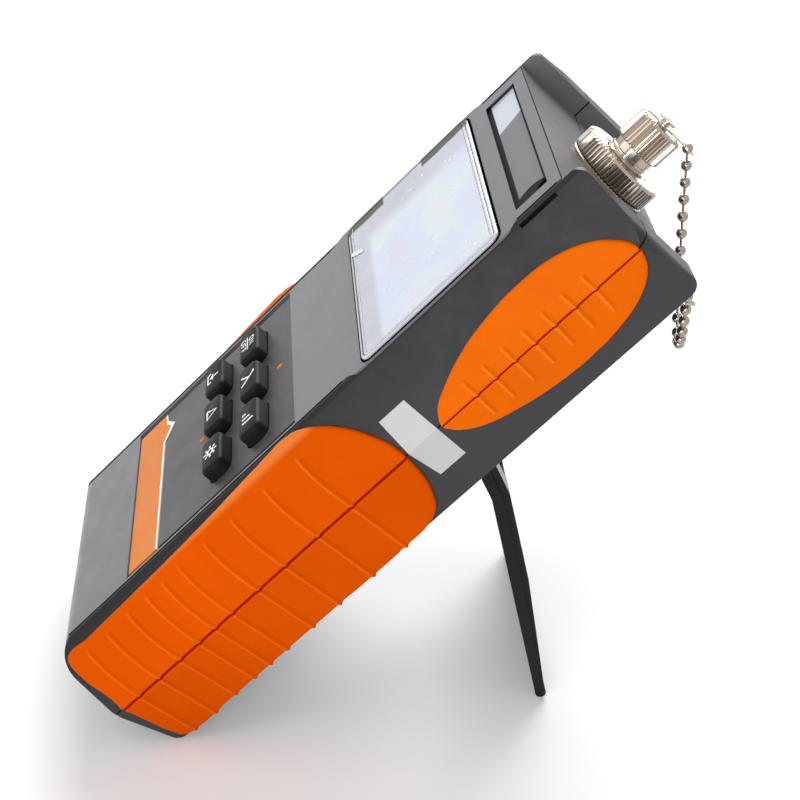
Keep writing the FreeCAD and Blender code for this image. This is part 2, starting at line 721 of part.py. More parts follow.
def hanging(start, end, count, step):
    """Points evenly spaced along a chain of count steps hung between two row-frame points."""
    span = math.dist(start[:2], end[:2])
    rise = end[2] - start[2]
    length = count * step
    chord = math.sqrt(length ** 2 - rise ** 2)
    low, high = span / SLACKEST, span * TIGHTEST
    while high - low > SETTLED:
        middle = (low + high) / 2
        low, high = (middle, high) if 2 * middle * math.sinh(span / (2 * middle)) > chord else (low, middle)
    curve = low
    lowest = span / 2 - curve * math.asinh(rise / chord)
    points = []
    for index in range(count + 1):
        along = lowest + curve * math.asinh(index * step / curve - math.sinh(lowest / curve))
        drop = curve * (math.cosh((along - lowest) / curve) - math.cosh(lowest / curve))
        share = along / span
        points.append(FreeCAD.Vector(start[0] + (end[0] - start[0]) * share,
                                     start[1] + (end[1] - start[1]) * share, start[2] + drop))
    return points


CHAIN_STEPS = 18
ANCHOR_SIDE = "ridge_half - anchor_inset"
FIRST_BALL = FreeCAD.Vector(0, number(TAB_LOW + " + tab_thick / 2"), number("port_height - tab_reach"))
LAST_BALL = FreeCAD.Vector(number(ANCHOR_SIDE), number("anchor_high"), -number("anchor_drop"))


def ball_chain():
    """Balls pierced at their poles and joined by short links, hung from the tab to the anchor on the back."""
    beads = hanging(STANCE.multVec(FIRST_BALL), STANCE.multVec(LAST_BALL), CHAIN_STEPS, number("ball_pitch"))
    pole = number("ball_pole")
    solids = []
    for index, bead in enumerate(beads):
        along = beads[min(index + 1, CHAIN_STEPS)] - beads[max(index - 1, 0)]
        solids.append(Part.makeSphere(number("ball_radius"), bead, along, -pole, pole, 360))
    for here, there in zip(beads, beads[1:]):
        reach = there - here
        solids.append(Part.makeCylinder(number("link_radius"), reach.Length, here, reach))
    chain = solids[0].fuse(solids[1:]).removeSplitter()
    deliver("ball_chain", feature("chain", chain), STANCE.inverse())


def chain_anchor():
    """Small foot on the back with a wire ring that holds the last ball."""
    foot = rod("anchor_disc", "anchor_foot", (ANCHOR_SIDE, "anchor_high", "-anchor_wire"), "z",
               "anchor_wire")
    ring = Part.makeTorus(number("anchor_ring - anchor_wire"), number("anchor_wire"), LAST_BALL,
                          FreeCAD.Vector(0, 1, 0))
    loop = feature("anchor_ring_wire", ring)
    deliver("chain_anchor", united("anchor_sum", foot, loop))


# --- soft grips and label ------------------------------------------------------------------------

def skin(name, proud, stencil):
    """Layer of a given thickness on the housing inside a stencil that runs across it."""
    outer = shared(name + "_outer", envelope(name + "_swollen", proud), stencil)
    return less(name + "_skin", outer, envelope(name + "_core"))


def oval_stencil(name, side, front):
    """Half of the pointed oval on one side, in front of the seam or behind it."""
    reach = number("oval_front" if front else "-oval_back")
    seam = number("ridge_height") + math.copysign(number("grip_seam"), reach)
    low, high = number("oval_low"), number("oval_high")
    start, end = FreeCAD.Vector(0, low, seam), FreeCAD.Vector(0, high, seam)
    lift = number("oval_fullness") * reach
    curve = Part.BezierCurve()
    curve.setPoles([start, FreeCAD.Vector(0, low, seam + lift), FreeCAD.Vector(0, high, seam + lift), end])
    face = Part.Face(Part.Wire([curve.toShape(), Part.LineSegment(end, start).toShape()]))
    return feature(name, face.extrude(FreeCAD.Vector(side * 2 * number("ridge_half"), 0, 0)))


def oval_grips():
    for side, word in ((-1, "left"), (1, "right")):
        for front, place in ((True, "front"), (False, "rear")):
            tag = "oval_%s_%s" % (place, word)
            stencil = oval_stencil(tag + "_stencil", side, front)
            deliver("oval_grip_%s_%s" % (place, word), skin(tag, "grip_proud", stencil))


def side_grips():
    edge = "(body_depth - grip_front_margin)"
    for side, word in ((-1, "left"), (1, "right")):
        reach = ("0", "2 * ridge_half") if side > 0 else ("-2 * ridge_half", "0")
        front = prism("grip_front_stencil_" + word, "x", [
            ("grip_low", "ridge_height + grip_seam"), ("grip_high", "ridge_height + grip_seam"),
            ("(grip_high + grip_corner_low) / 2 + grip_front_bulge", edge + " - grip_front_bulge"),
            ("grip_corner_low", edge), ("grip_low", edge)], *reach)
        deliver("side_grip_front_" + word, skin("grip_front_" + word, "grip_proud", front))
        inner = ("back_half - grip_wrap", ALL_X[1]) if side > 0 else (ALL_X[0], "grip_wrap - back_half")
        rear = prism("grip_rear_stencil_" + word, "x", [
            ("grip_low", "round_foot"), ("grip_low + round_foot", "0"), ("grip_back_high", "0"),
            ("(grip_back_high + grip_high) / 2 + grip_back_bulge", "ridge_height / 3"),
            ("grip_high", "ridge_height - grip_seam"), ("grip_low", "ridge_height - grip_seam")], *inner)
        deliver("side_grip_rear_" + word, skin("grip_rear_" + word, "grip_proud", rear))


def seal_label():
    stencil = block("label_stencil", ("0", "2 * ridge_half"), ("label_low", "label_high"),
                    ("label_back", "label_back + label_long"))
    deliver("seal_label", skin("label", "label_thick", stencil))


# --- kickstand -----------------------------------------------------------------------------------

HINGE = FreeCAD.Placement(
    FreeCAD.Vector(0, number("hinge_along"), number("hinge_height")),
    FreeCAD.Rotation(FreeCAD.Vector(1, 0, 0), number("stand_open")),
)


def kickstand():
    """Bent plate with an opening between its legs, built folded with its hinge on the origin."""
    bend = ("-stand_root * cos(stand_kink)", "-stand_root * sin(stand_kink)")
    tip = "-" + STAND_LONG
    up, down = " + stand_thick / 2", " - stand_thick / 2"
    plate = prism("stand_plate_form", "x", [
        ("0", "stand_thick / 2"), (bend[0], bend[1] + up), (tip, bend[1] + up),
        (tip, bend[1] + down), (bend[0], bend[1] + down), ("0", "-stand_thick / 2")],
        "-stand_half", "stand_half")
    foot = runs_along("x", (tip, bend[1] + up), (tip, bend[1] + down))
    rounded(plate, "stand_thick / 2 - round_margin", foot)
    start = ("-stand_eye", "-stand_eye * tan(stand_kink)")
    rib = " - stand_thick / 2 - stand_rib"
    taper = ("%s + stand_plate" % tip, bend[1] + rib)
    raised = prism("stand_rib_form", "x", [
        ("-stand_eye", start[1]), (bend[0], bend[1]), ("%s + stand_rib_end" % tip, bend[1]),
        ("%s + stand_rib_end" % tip, bend[1] + down), taper, (bend[0], bend[1] + rib),
        ("-stand_eye", start[1] + rib)], "-stand_half + stand_rib_inset", "stand_half - stand_rib_inset")
    eyes = rod("stand_eyes", "stand_eye", ("-stand_half", "0", "0"), "x", "2 * stand_half")
    gap = block("stand_gap", ("-stand_half + stand_leg_wide", "stand_half - stand_leg_wide"),
                ("%s + stand_plate" % tip, "2 * stand_eye"), ("-stand_root", "stand_root"))
    hole = rod("stand_hole", "pin_radius + fit_gap", ("-2 * stand_half", "0", "0"), "x", "4 * stand_half")
    deliver("kickstand", less("stand_cut", united("stand_sum", plate, raised, eyes), gap, hole), HINGE)
    for side, word in ((-1, "left"), (1, "right")):
        low = "-%s - pin_reach" % BAY_HALF if side < 0 else "stand_half - stand_leg_wide"
        long = "%s + pin_reach - stand_half + stand_leg_wide" % BAY_HALF
        pin = round_pin("stand_pin_" + word, low, long)
        deliver("stand_pin_" + word, pin, FreeCAD.Placement(HINGE.Base, FreeCAD.Rotation()))


def round_pin(name, low, long):
    """Round pin along x, padded from a circle."""
    body = doc.addObject("PartDesign::Body", name + "_body")
    sketch = body.newObject("Sketcher::SketchObject", name + "_outline")
    sketch.AttachmentSupport = (plane_of(body, "YZ_Plane"), [""])
    sketch.MapMode = "FlatFace"
    bind(sketch, "AttachmentOffset.Base.z", low)
    sketch.addGeometry(Part.Circle(FreeCAD.Vector(), FreeCAD.Vector(0, 0, 1), number("pin_radius")))
    sketch.addConstraint(Sketcher.Constraint("Coincident", 0, 3, -1, 1))
    slot = sketch.addConstraint(Sketcher.Constraint("Radius", 0, number("pin_radius")))
    bind(sketch, "Constraints[%d]" % slot, "pin_radius")
    pad = body.newObject("PartDesign::Pad", name + "_pad")
    pad.Profile = sketch
    bind(pad, "Length", long)
    return body


# --- battery bay ---------------------------------------------------------------------------------

CELLS = 3
CELL_HEIGHT = "(bay_depth + cover_thick + fit_gap + cell_radius)"


def battery_bay():
    out = "(%s + fit_gap)" % COVER_HALF
    cover_step = "bay_depth + cover_thick"
    gap = "(cover_lip - fit_gap)"
    deliver("battery_cover", slab("cover_sheet",
                                  ("-%s - %s" % (COVER_HALF, gap), "%s + %s" % (COVER_HALF, gap)),
                                  ("%s - %s" % (COVER_LOW, gap), "%s + %s" % (COVER_HIGH, gap)),
                                  ("bay_depth", cover_step)))
    shell_top = "bay_depth + wall"
    outer = block("tray_outer", ("-%s - tray_wall" % out, "%s + tray_wall" % out),
                  (COVER_LOW + " - tray_wall", COVER_HIGH + " + tray_wall"),
                  (cover_step + " + fit_gap", TRAY_FLOOR + " + tray_wall"))
    inner = block("tray_inner", ("-" + out, out), (COVER_LOW, COVER_HIGH), ("0", TRAY_FLOOR))
    flange = "tray_wall + tray_flange"
    rim = block("tray_flange_sheet", ("-%s - (%s)" % (out, flange), "%s + %s" % (out, flange)),
                ("%s - (%s)" % (COVER_LOW, flange), "%s + %s" % (COVER_HIGH, flange)),
                (shell_top, shell_top + " + tray_wall"))
    deliver("battery_tray", less("tray_cut", united("tray_sum", outer, rim), inner))
    for index in range(CELLS):
        along = "cell_first + %d * cell_pitch" % index
        turned_round = index % 2
        can_start = "cell_nub - cell_length / 2" if turned_round else "-cell_length / 2"
        nub_start = "-cell_length / 2" if turned_round else "cell_length / 2 - 2 * cell_nub"
        can = rod("cell_can_%d" % index, "cell_radius", (can_start, along, CELL_HEIGHT), "x",
                  "cell_length - cell_nub")
        nub = rod("cell_nub_%d" % index, "cell_nub_radius", (nub_start, along, CELL_HEIGHT), "x",
                  "2 * cell_nub")
        deliver("battery_cell_%d" % (index + 1), united("cell_%d" % index, can, nub))
    for side, word in ((-1, "left"), (1, "right")):
        plate = ("%s - contact_thick" % out, out) if side > 0 else ("-" + out, "contact_thick - " + out)
        sheet_part = block("contact_sheet_" + word, plate,
                           (COVER_LOW + " + contact_inset", COVER_HIGH + " - contact_inset"),
                           (CELL_HEIGHT + " - contact_radius", CELL_HEIGHT + " + contact_radius"))
        springs = [rod("contact_spring_%s_%d" % (word, index), "contact_radius / 2",
                       ("cell_length / 2 + fit_gap" if side > 0 else "-" + out,
                        "cell_first + %d * cell_pitch" % index, CELL_HEIGHT), "x",
                       "%s - cell_length / 2 - fit_gap" % out)
                   for index in range(CELLS)]
        deliver("battery_contact_" + word, united("contact_" + word, sheet_part, *springs))


# --- build, check and write ----------------------------------------------------------------------

front_shell()
rear_shell()
case_screws()
face_panel()
overlays()
keys()
keypad_mat()
main_board()
display()
name_card()
connector()
swivel_tab()
ball_chain()
chain_anchor()
oval_grips()
side_grips()
seal_label()
kickstand()
battery_bay()
doc.recompute()

for label, (thing, own) in pieces.items():
    thing.Placement = STANCE.multiply(own)

# The origin is on the floor under the middle of the whole meter's box.
whole = FreeCAD.BoundBox()
for thing, own in pieces.values():
    whole.add(thing.Shape.optimalBoundingBox(False, False))
CENTRED = FreeCAD.Placement(FreeCAD.Vector(-whole.Center.x, -whole.Center.y, -whole.ZMin), FreeCAD.Rotation())
for thing, own in pieces.values():
    thing.Placement = CENTRED.multiply(thing.Placement)
doc.recompute()

for thing in doc.Objects:
    if any(word in thing.State for word in ("Invalid", "Error")):
        raise RuntimeError("%s did not compute: %s" % (thing.Name, thing.State))

os.makedirs("parts", exist_ok=True)
for label, (thing, own) in pieces.items():
    shape = thing.Shape
    if shape.isNull() or not shape.isValid() or len(shape.Solids) != 1:
        raise RuntimeError("%s is not one valid solid" % label)
    shape.Solids[0].exportStep("parts/%s.step" % label)
    box = shape.BoundBox
    print("%-24s %8.0f mm3  x %6.1f..%6.1f  y %6.1f..%6.1f  z %6.1f..%6.1f" % (
        label, shape.Volume, box.XMin, box.XMax, box.YMin, box.YMax, box.ZMin, box.ZMax))
print("lean %.2f degrees, %d pieces" % (math.degrees(LEAN), len(pieces)))
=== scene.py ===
# %% [markdown]
# # A hand-held optical power meter, dressed
#
# The meter stands on its open kickstand.  Its shells, keys, connector and stand come packed from
# CAD, in metres and in one frame, and this lesson gives them their looks.  A CAD piece whose shape
# is right only gets a material.  A piece that needs finer form, such as a ribbed grip or a knurled
# ring, is modelled again here and stands in for its CAD node.

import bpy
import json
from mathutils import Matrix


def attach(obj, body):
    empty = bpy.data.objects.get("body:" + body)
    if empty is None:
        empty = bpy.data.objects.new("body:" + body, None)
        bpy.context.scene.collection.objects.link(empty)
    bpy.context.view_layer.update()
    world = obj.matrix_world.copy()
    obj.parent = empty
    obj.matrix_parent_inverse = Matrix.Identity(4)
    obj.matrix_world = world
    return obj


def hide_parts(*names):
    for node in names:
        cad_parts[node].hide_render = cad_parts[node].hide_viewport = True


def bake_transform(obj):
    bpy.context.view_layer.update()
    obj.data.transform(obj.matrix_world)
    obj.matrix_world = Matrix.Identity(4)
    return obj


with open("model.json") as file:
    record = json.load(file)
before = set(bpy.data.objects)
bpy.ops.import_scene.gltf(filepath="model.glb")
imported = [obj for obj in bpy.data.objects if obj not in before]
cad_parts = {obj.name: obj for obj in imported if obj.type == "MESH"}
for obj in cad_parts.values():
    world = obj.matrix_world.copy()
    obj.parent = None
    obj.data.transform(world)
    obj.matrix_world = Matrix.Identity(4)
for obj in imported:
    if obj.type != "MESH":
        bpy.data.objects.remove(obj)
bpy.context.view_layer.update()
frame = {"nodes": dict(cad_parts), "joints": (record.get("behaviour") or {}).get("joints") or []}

# %% [markdown]
# Blender's own modules come next.  bmesh shapes meshes, mathutils turns and moves them, and numpy
# works on many vertices at once.  Sizes on the meter are written in millimetres, and those of the
# room, the floor and the lamps in metres.

# %% Modules
import json
import math

import bmesh
import bpy
import numpy as np
from mathutils import Matrix, Vector

print("Blender", bpy.app.version_string, "is ready")

# %% [markdown]
# The meter leans back, so nothing on it lies square in the room.  Modelling is easier in the
# housing's own frame: x to the meter's right, y from its lower end to the connector, and z out of
# its face, in millimetres.  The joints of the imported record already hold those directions, so the
# one matrix that takes a finished piece from that frame into the room is read from them.

# %% The housing's frame
HINGE_ALONG = 118.5
HINGE_HEIGHT = 7.2
MILLIMETRE = 0.001
joints = {joint["name"]: joint for joint in frame["joints"]}
to_right = Vector((1, 0, 0))
along = Vector(joints["cap_lift"]["axis"]).normalized()
outward = -Vector(joints["key_load_press"]["axis"]).normalized()
HOUSING = Matrix((to_right, along, outward)).transposed().to_4x4() @ Matrix.Scale(MILLIMETRE, 4)
HOUSING.translation = Vector(joints["stand_fold"]["pos_m"]) - (
    along * HINGE_ALONG + outward * HINGE_HEIGHT) * MILLIMETRE
LEAN = math.atan2(along.z, along.y)
print("the housing leans", round(math.degrees(LEAN), 2), "degrees")

# %% [markdown]
# Nearly every piece made here goes through one function.  It closes doubled points, turns the faces
# outwards, moves the mesh into the room, marks edges sharper than an angle, puts the piece under the
# body it rides on, and hides the CAD nodes it stands for.  The chain and the floor need only some of
# these steps, so those are functions too.

# %% Finish a piece
SHARP = math.radians(32)
WELD = 1e-5


def mesh_from(name, bm):
    """Mesh with the contents of a bmesh, which isn't needed any more."""
    mesh = bpy.data.meshes.new(name)
    bm.to_mesh(mesh)
    bm.free()
    return mesh


def into_scene(name, mesh, materials, sharp):
    """Object for a mesh, smooth except at edges sharper than an angle, with its materials."""
    mesh.polygons.foreach_set("use_smooth", [True] * len(mesh.polygons))
    mesh.set_sharp_from_angle(angle=sharp)
    for material in materials:
        mesh.materials.append(material)
    made = bpy.data.objects.new(name, mesh)
    bpy.context.scene.collection.objects.link(made)
    print(name, "has", len(mesh.polygons), "faces")
    return made


def finish_piece(name, bm, materials, body, stands_for=(), place=HOUSING, sharp=SHARP):
    bmesh.ops.remove_doubles(bm, verts=bm.verts[:], dist=WELD)
    bmesh.ops.recalc_face_normals(bm, faces=bm.faces[:])
    bm.transform(place)
    made = into_scene(name, mesh_from(name, bm), materials, sharp)
    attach(made, body)
    if stands_for:
        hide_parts(*stands_for)


print("edges sharper than", round(math.degrees(SHARP)), "degrees stay sharp")

# %% [markdown]
# ## Materials
#
# Moulded plastic is never one flat colour.  The mould's spark-eroded surface gives it a fine grain,
# hands leave soft patches where it shines more or less, and the pigment drifts a little.  These
# three effects are on nearly every piece, so they are built once as a node group with named
# inputs, and each material places it with values of its own.

# %% Node helpers
def link(tree, source, target):
    tree.links.new(source, target)


def feed(tree, socket, value):
    """Links a socket to the one that supplies its value, or gives it a plain value."""
    if isinstance(value, bpy.types.NodeSocket):
        link(tree, value, socket)
    else:
        socket.default_value = value


def place_node(tree, kind, **settings):
    made = tree.nodes.new(kind)
    for key, value in settings.items():
        setattr(made, key, value)
    return made


def new_group(name, inputs, outputs):
    """Empty shader group with number or colour sockets; returns its tree and its two end nodes."""
    tree = bpy.data.node_groups.new(name, "ShaderNodeTree")
    for socket, value in inputs:
        kind = "NodeSocketColor" if hasattr(value, "__len__") else "NodeSocketFloat"
        made = tree.interface.new_socket(socket, in_out="INPUT", socket_type=kind)
        made.default_value = value
    for socket, kind in outputs:
        tree.interface.new_socket(socket, in_out="OUTPUT", socket_type=kind)
    return tree, tree.nodes.new("NodeGroupInput"), tree.nodes.new("NodeGroupOutput")


print("nodes can be placed, fed and grouped")

# %% [markdown]
# Materials use a few kinds of node over and over: a place to read from, a noise, a sum, a range
# taken to another range, and a mix of two colours.  Each gets a function that places the node,
# feeds it and returns the socket to go on from.  As any input may be a number, a colour or another
# node's socket, a chain of nodes reads like a sum.

# %% Nodes for places, numbers and colours
def object_place(tree):
    return place_node(tree, "ShaderNodeTexCoord").outputs["Object"]


def noise(tree, vector, scale, detail=2.0, roughness=0.5):
    made = place_node(tree, "ShaderNodeTexNoise", noise_dimensions="3D")
    for socket, value in (("Vector", vector), ("Scale", scale), ("Detail", detail), ("Roughness", roughness)):
        feed(tree, made.inputs[socket], value)
    return made.outputs["Fac"]


def maths(tree, operation, *values):
    made = place_node(tree, "ShaderNodeMath", operation=operation)
    for socket, value in zip(made.inputs, values):
        feed(tree, socket, value)
    return made.outputs[0]


def spread(tree, value, from_low, from_high, to_low, to_high):
    """Value taken from one range to another, and kept inside it."""
    made = place_node(tree, "ShaderNodeMapRange", clamp=True)
    for socket, number in zip(made.inputs, (value, from_low, from_high, to_low, to_high)):
        feed(tree, socket, number)
    return made.outputs[0]


def scaled_colour(tree, colour, share):
    made = place_node(tree, "ShaderNodeVectorMath", operation="SCALE")
    feed(tree, made.inputs[0], colour)
    feed(tree, made.inputs["Scale"], share)
    return made.outputs[0]


def mix_colour(tree, factor, first, second):
    made = place_node(tree, "ShaderNodeMix", data_type="RGBA")
    for socket, value in ((made.inputs[0], factor), (made.inputs[6], first), (made.inputs[7], second)):
        feed(tree, socket, value)
    return made.outputs[2]


print("nodes can be chained like sums")

# %% [markdown]
# The group itself comes next.  A broad noise lets the pigment drift, a finer one makes the patches
# that hands leave, and the finest is the grain.  Object coordinates are in metres, so a grain scale
# of 2600 gives grains of about 0.4 mm.

# %% The moulded surface group
def build_moulded_surface():
    tree, start, end = new_group(
        "moulded_surface",
        [("Colour", (0.5, 0.5, 0.5, 1)), ("Drift", 0.06), ("Grain Scale", 2600.0), ("Roughness", 0.4),
         ("Handling", 0.08)],
        [("Colour", "NodeSocketColor"), ("Roughness", "NodeSocketFloat"), ("Height", "NodeSocketFloat")])
    place = object_place(tree)
    cloud = noise(tree, place, 38.0, 3.0, 0.55)
    smear = noise(tree, place, 95.0, 4.0, 0.65)
    grain = noise(tree, place, start.outputs["Grain Scale"], 2.0, 0.6)
    low = maths(tree, "SUBTRACT", 1.0, start.outputs["Drift"])
    high = maths(tree, "ADD", 1.0, start.outputs["Drift"])
    shade = spread(tree, cloud, 0.3, 0.7, low, high)
    link(tree, scaled_colour(tree, start.outputs["Colour"], shade), end.inputs["Colour"])
    half = maths(tree, "MULTIPLY", start.outputs["Handling"], 0.5)
    least = maths(tree, "SUBTRACT", start.outputs["Roughness"], half)
    most = maths(tree, "ADD", start.outputs["Roughness"], half)
    link(tree, spread(tree, smear, 0.35, 0.65, least, most), end.inputs["Roughness"])
    link(tree, grain, end.inputs["Height"])
    return tree


MOULDED_SURFACE = build_moulded_surface()
print("group", MOULDED_SURFACE.name, "has", len(MOULDED_SURFACE.nodes), "nodes")

# %% [markdown]
# A material places the group, feeds its colour and roughness to the Principled shader, and its
# grain to a Bump node whose distance is the real height of the grain.  What is the same all over
# the surface, such as metalness or the index of refraction, is set on the shader itself.

# %% Moulded materials
def new_material(name, **shader_values):
    material = bpy.data.materials.new(name)
    material.use_nodes = True
    shader = material.node_tree.nodes["Principled BSDF"]
    for socket, value in shader_values.items():
        shader.inputs[socket.replace("_", " ")].default_value = value
    return material, material.node_tree, shader


GRAIN_STRENGTH = 0.6
GRAIN_DEPTH = 0.03 * MILLIMETRE


def moulded(name, colour, roughness, drift=0.05, handling=0.1, grain=2600.0, **shader_values):
    material, tree, shader = new_material(name, **shader_values)
    surface = place_node(tree, "ShaderNodeGroup", node_tree=MOULDED_SURFACE)
    for socket, value in (("Colour", (*colour, 1)), ("Drift", drift), ("Grain Scale", grain),
                          ("Roughness", roughness), ("Handling", handling)):
        surface.inputs[socket].default_value = value
    link(tree, surface.outputs["Colour"], shader.inputs["Base Color"])
    link(tree, surface.outputs["Roughness"], shader.inputs["Roughness"])
    bump = place_node(tree, "ShaderNodeBump")
    bump.inputs["Strength"].default_value = GRAIN_STRENGTH
    bump.inputs["Distance"].default_value = GRAIN_DEPTH
    link(tree, surface.outputs["Height"], bump.inputs["Height"])
    link(tree, bump.outputs["Normal"], shader.inputs["Normal"])
    return material


shell_front = moulded("shell_front_plastic", (0.03, 0.028, 0.031), 0.42, Specular_IOR_Level=0.2)
# Painted light: the rear shell is the front shell's plastic made paler, as it faces the floor and takes its
# light.
shell_rear_lit = moulded("shell_rear_plastic", (0.045, 0.045, 0.05), 0.42, Specular_IOR_Level=0.25)
panel_grey = moulded("panel_plastic", (0.11, 0.1085, 0.117), 0.33, drift=0.03)
overlay_grey = moulded("keypad_film", (0.047, 0.043, 0.047), 0.42, drift=0.04, grain=3400.0)
band_orange = moulded("band_print", (0.66, 0.185, 0.02), 0.45, drift=0.03, grain=3400.0,
                      Specular_IOR_Level=0.25)
grip_orange = moulded("grip_rubber", (0.737, 0.091, 0.0), 0.5, drift=0.05, handling=0.12, grain=3000.0,
                      Specular_IOR_Level=0.01)
# Painted light: the oval grips are the long grips' rubber made paler, as more light falls on them.
oval_orange_lit = moulded("oval_rubber", (0.88, 0.147, 0.0), 0.42, drift=0.05, handling=0.12, grain=3000.0,
                      Specular_IOR_Level=0.03)
seam_red = moulded("grip_seam", (0.5, 0.02, 0.0), 0.7, Specular_IOR_Level=0.05)
key_top = moulded("key_top_coat", (0.008, 0.0085, 0.0085), 0.5, Specular_IOR_Level=0.1)
stand_black = moulded("stand_plastic", (0.006, 0.006, 0.007), 0.24, Specular_IOR_Level=0.22)
inner_black = moulded("inner_plastic", (0.02, 0.02, 0.02), 0.5)
print("moulded materials are ready")

# %% [markdown]
# Some finishes change from place to place on the housing, so a material has to know where it is.
# The dot product with one of the housing's directions gives the place along that direction, in
# millimetres.  A node group puts out all three, because the shells, the window and the card each
# need one or two of them to place their patterns.

# %% Housing coordinates for materials
def build_meter_place():
    tree, _, end = new_group("meter_place", [],
                             [(socket, "NodeSocketFloat") for socket in ("Right", "Along", "Out")])
    place = object_place(tree)
    for socket, axis in (("Right", to_right), ("Along", along), ("Out", outward)):
        dot = place_node(tree, "ShaderNodeVectorMath", operation="DOT_PRODUCT")
        link(tree, place, dot.inputs[0])
        dot.inputs[1].default_value = axis / MILLIMETRE
        origin = HOUSING.translation.dot(axis) / MILLIMETRE
        link(tree, maths(tree, "SUBTRACT", dot.outputs["Value"], origin), end.inputs[socket])
    return tree


METER_PLACE = build_meter_place()


def meter_place(tree):
    """The group's three outputs: Right, Along and Out."""
    return place_node(tree, "ShaderNodeGroup", node_tree=METER_PLACE).outputs


print("group", METER_PLACE.name, "has", len(METER_PLACE.nodes), "nodes")

# %% [markdown]
# The two shells meet in a parting line that runs right round the meter and shows as a fine dark
# groove; that dark line is painted shade.  It lies in one plane of the housing, so the height above
# the back is all that its mask needs.  The floor and walls of the recess between the two horns face
# the lamps and are painted paler than the grained sides: painted light.  Both are laid over the
# colour that already feeds the shader, by one small function.

# %% The parting line and the recess
SEAM_HEIGHT = 21.0
SEAM_HALF = 0.17
SEAM_SOFT = 1.6
# Painted shade: the near-black of the parting groove.
SEAM_SHADE_COLOUR = (0.002, 0.002, 0.002, 1)
RECESS_HALF = 37.4
RECESS_FLOOR = 184.5
# Painted light: paler colours for the recess floor and its walls, which face the lamps.
RECESS_FLOOR_LIGHT = (0.15, 0.152, 0.16, 1)
RECESS_WALL_LIGHT = (0.18, 0.18, 0.188, 1)


def base_colour(material):
    return material.node_tree.nodes["Principled BSDF"].inputs["Base Color"]


def lay_over(material, mask, colour):
    """Mixes a colour over the one that feeds the shader, as strongly as the mask says."""
    base = base_colour(material)
    tree = material.node_tree
    link(tree, mix_colour(tree, mask, base.links[0].from_socket, colour), base)


# Painted shade along the parting line, with a rougher surface so that it shows no reflection.
def paint_seam_shade(material):
    tree = material.node_tree
    away = maths(tree, "ABSOLUTE", maths(tree, "SUBTRACT", meter_place(tree)["Out"], SEAM_HEIGHT))
    shown = spread(tree, away, SEAM_HALF, SEAM_HALF * SEAM_SOFT, 1.0, 0.0)
    lay_over(material, shown, SEAM_SHADE_COLOUR)
    rough = tree.nodes["Principled BSDF"].inputs["Roughness"]
    link(tree, maths(tree, "MAXIMUM", rough.links[0].from_socket, shown), rough)


# Painted light on the floor and walls of the recess between the horns.
def paint_recess_light(material):
    tree = material.node_tree
    meter = meter_place(tree)
    across = maths(tree, "ABSOLUTE", meter["Right"])
    inside = spread(tree, across, RECESS_HALF + 0.1, RECESS_HALF + 0.2, 1.0, 0.0)
    above = spread(tree, meter["Along"], RECESS_FLOOR - 0.4, RECESS_FLOOR - 0.3, 0.0, 1.0)
    wall = spread(tree, across, RECESS_HALF - 0.3, RECESS_HALF - 0.2, 0.0, 1.0)
    paler = mix_colour(tree, wall, RECESS_FLOOR_LIGHT, RECESS_WALL_LIGHT)
    lay_over(material, maths(tree, "MULTIPLY", inside, above), paler)


print("the parting line lies", SEAM_HEIGHT, "mm above the back")

# %% [markdown]
# The other changes of tone are softer, and they are painted light and shade.  The front rail of the
# shell is painted darker towards the face: painted shade.  The face panel is painted paler towards
# the window: painted light.  The grips are painted paler on the rim that wraps on to the front rail,
# and on one flank of every rib, where the light catches them: painted highlights.  The ribs are
# curved, so their flanks come from a mesh attribute that is written when the ribs are raised.  The
# walls of the card's narrow recess hardly get any light, and stay dark.

# %% Painted light, shade and highlights
# Painted shade on the front rail, painted light on the face panel, painted highlight on the grip rims.
RAIL_SHADE = ("Out", 27.0, 41.5, 0.5)
PANEL_LIGHT = ("Along", 20.0, 100.0, 1.35)
RIM_HEIGHTS = (39.9, 41.4)
RIM_HIGHLIGHT = 0.55
CARD_WALL_TOP = 42.4
CARD_WALL_ENDS = (168.5, 181.7)
CARD_WALL_COLOUR = (0.008, 0.008, 0.009, 1)


def paint_light_along(material, socket, low, high, share):
    """Painted light or shade: scales the colour by a share, from none at one place along a direction to all
    at another.
    """
    tree = material.node_tree
    faded = spread(tree, meter_place(tree)[socket], low, high, 0.0, 1.0)
    lay_over(material, faded, scaled_colour(tree, base_colour(material).links[0].from_socket, share))


# Painted highlight on the grip's rim, where it wraps on to the front rail and catches the light.
def paint_rim_highlight(material, colour):
    tree = material.node_tree
    lay_over(material, spread(tree, meter_place(tree)["Out"], *RIM_HEIGHTS, 0.0, RIM_HIGHLIGHT), colour)


# Painted highlight on one flank of every rib.
def paint_rib_highlight(material, colour):
    lit_flank = place_node(material.node_tree, "ShaderNodeAttribute", attribute_name="lit_flank")
    lay_over(material, lit_flank.outputs["Fac"], colour)


def shade_card_recess(material):
    tree = material.node_tree
    meter = meter_place(tree)
    low, high = CARD_WALL_ENDS
    below = spread(tree, meter["Out"], CARD_WALL_TOP, CARD_WALL_TOP + 0.06, 1.0, 0.0)
    past_low = spread(tree, meter["Along"], low - 0.1, low + 0.1, 0.0, 1.0)
    before_high = spread(tree, meter["Along"], high - 0.1, high + 0.1, 1.0, 0.0)
    shown = maths(tree, "MULTIPLY", maths(tree, "MULTIPLY", below, past_low), before_high)
    lay_over(material, shown, CARD_WALL_COLOUR)


print("the rim wears between", *RIM_HEIGHTS, "mm above the back")

# %% [markdown]
# Every change is laid over the ones before it, so their order matters.  On the shells the painted
# shade of the parting groove comes last, and no painted light lightens it.

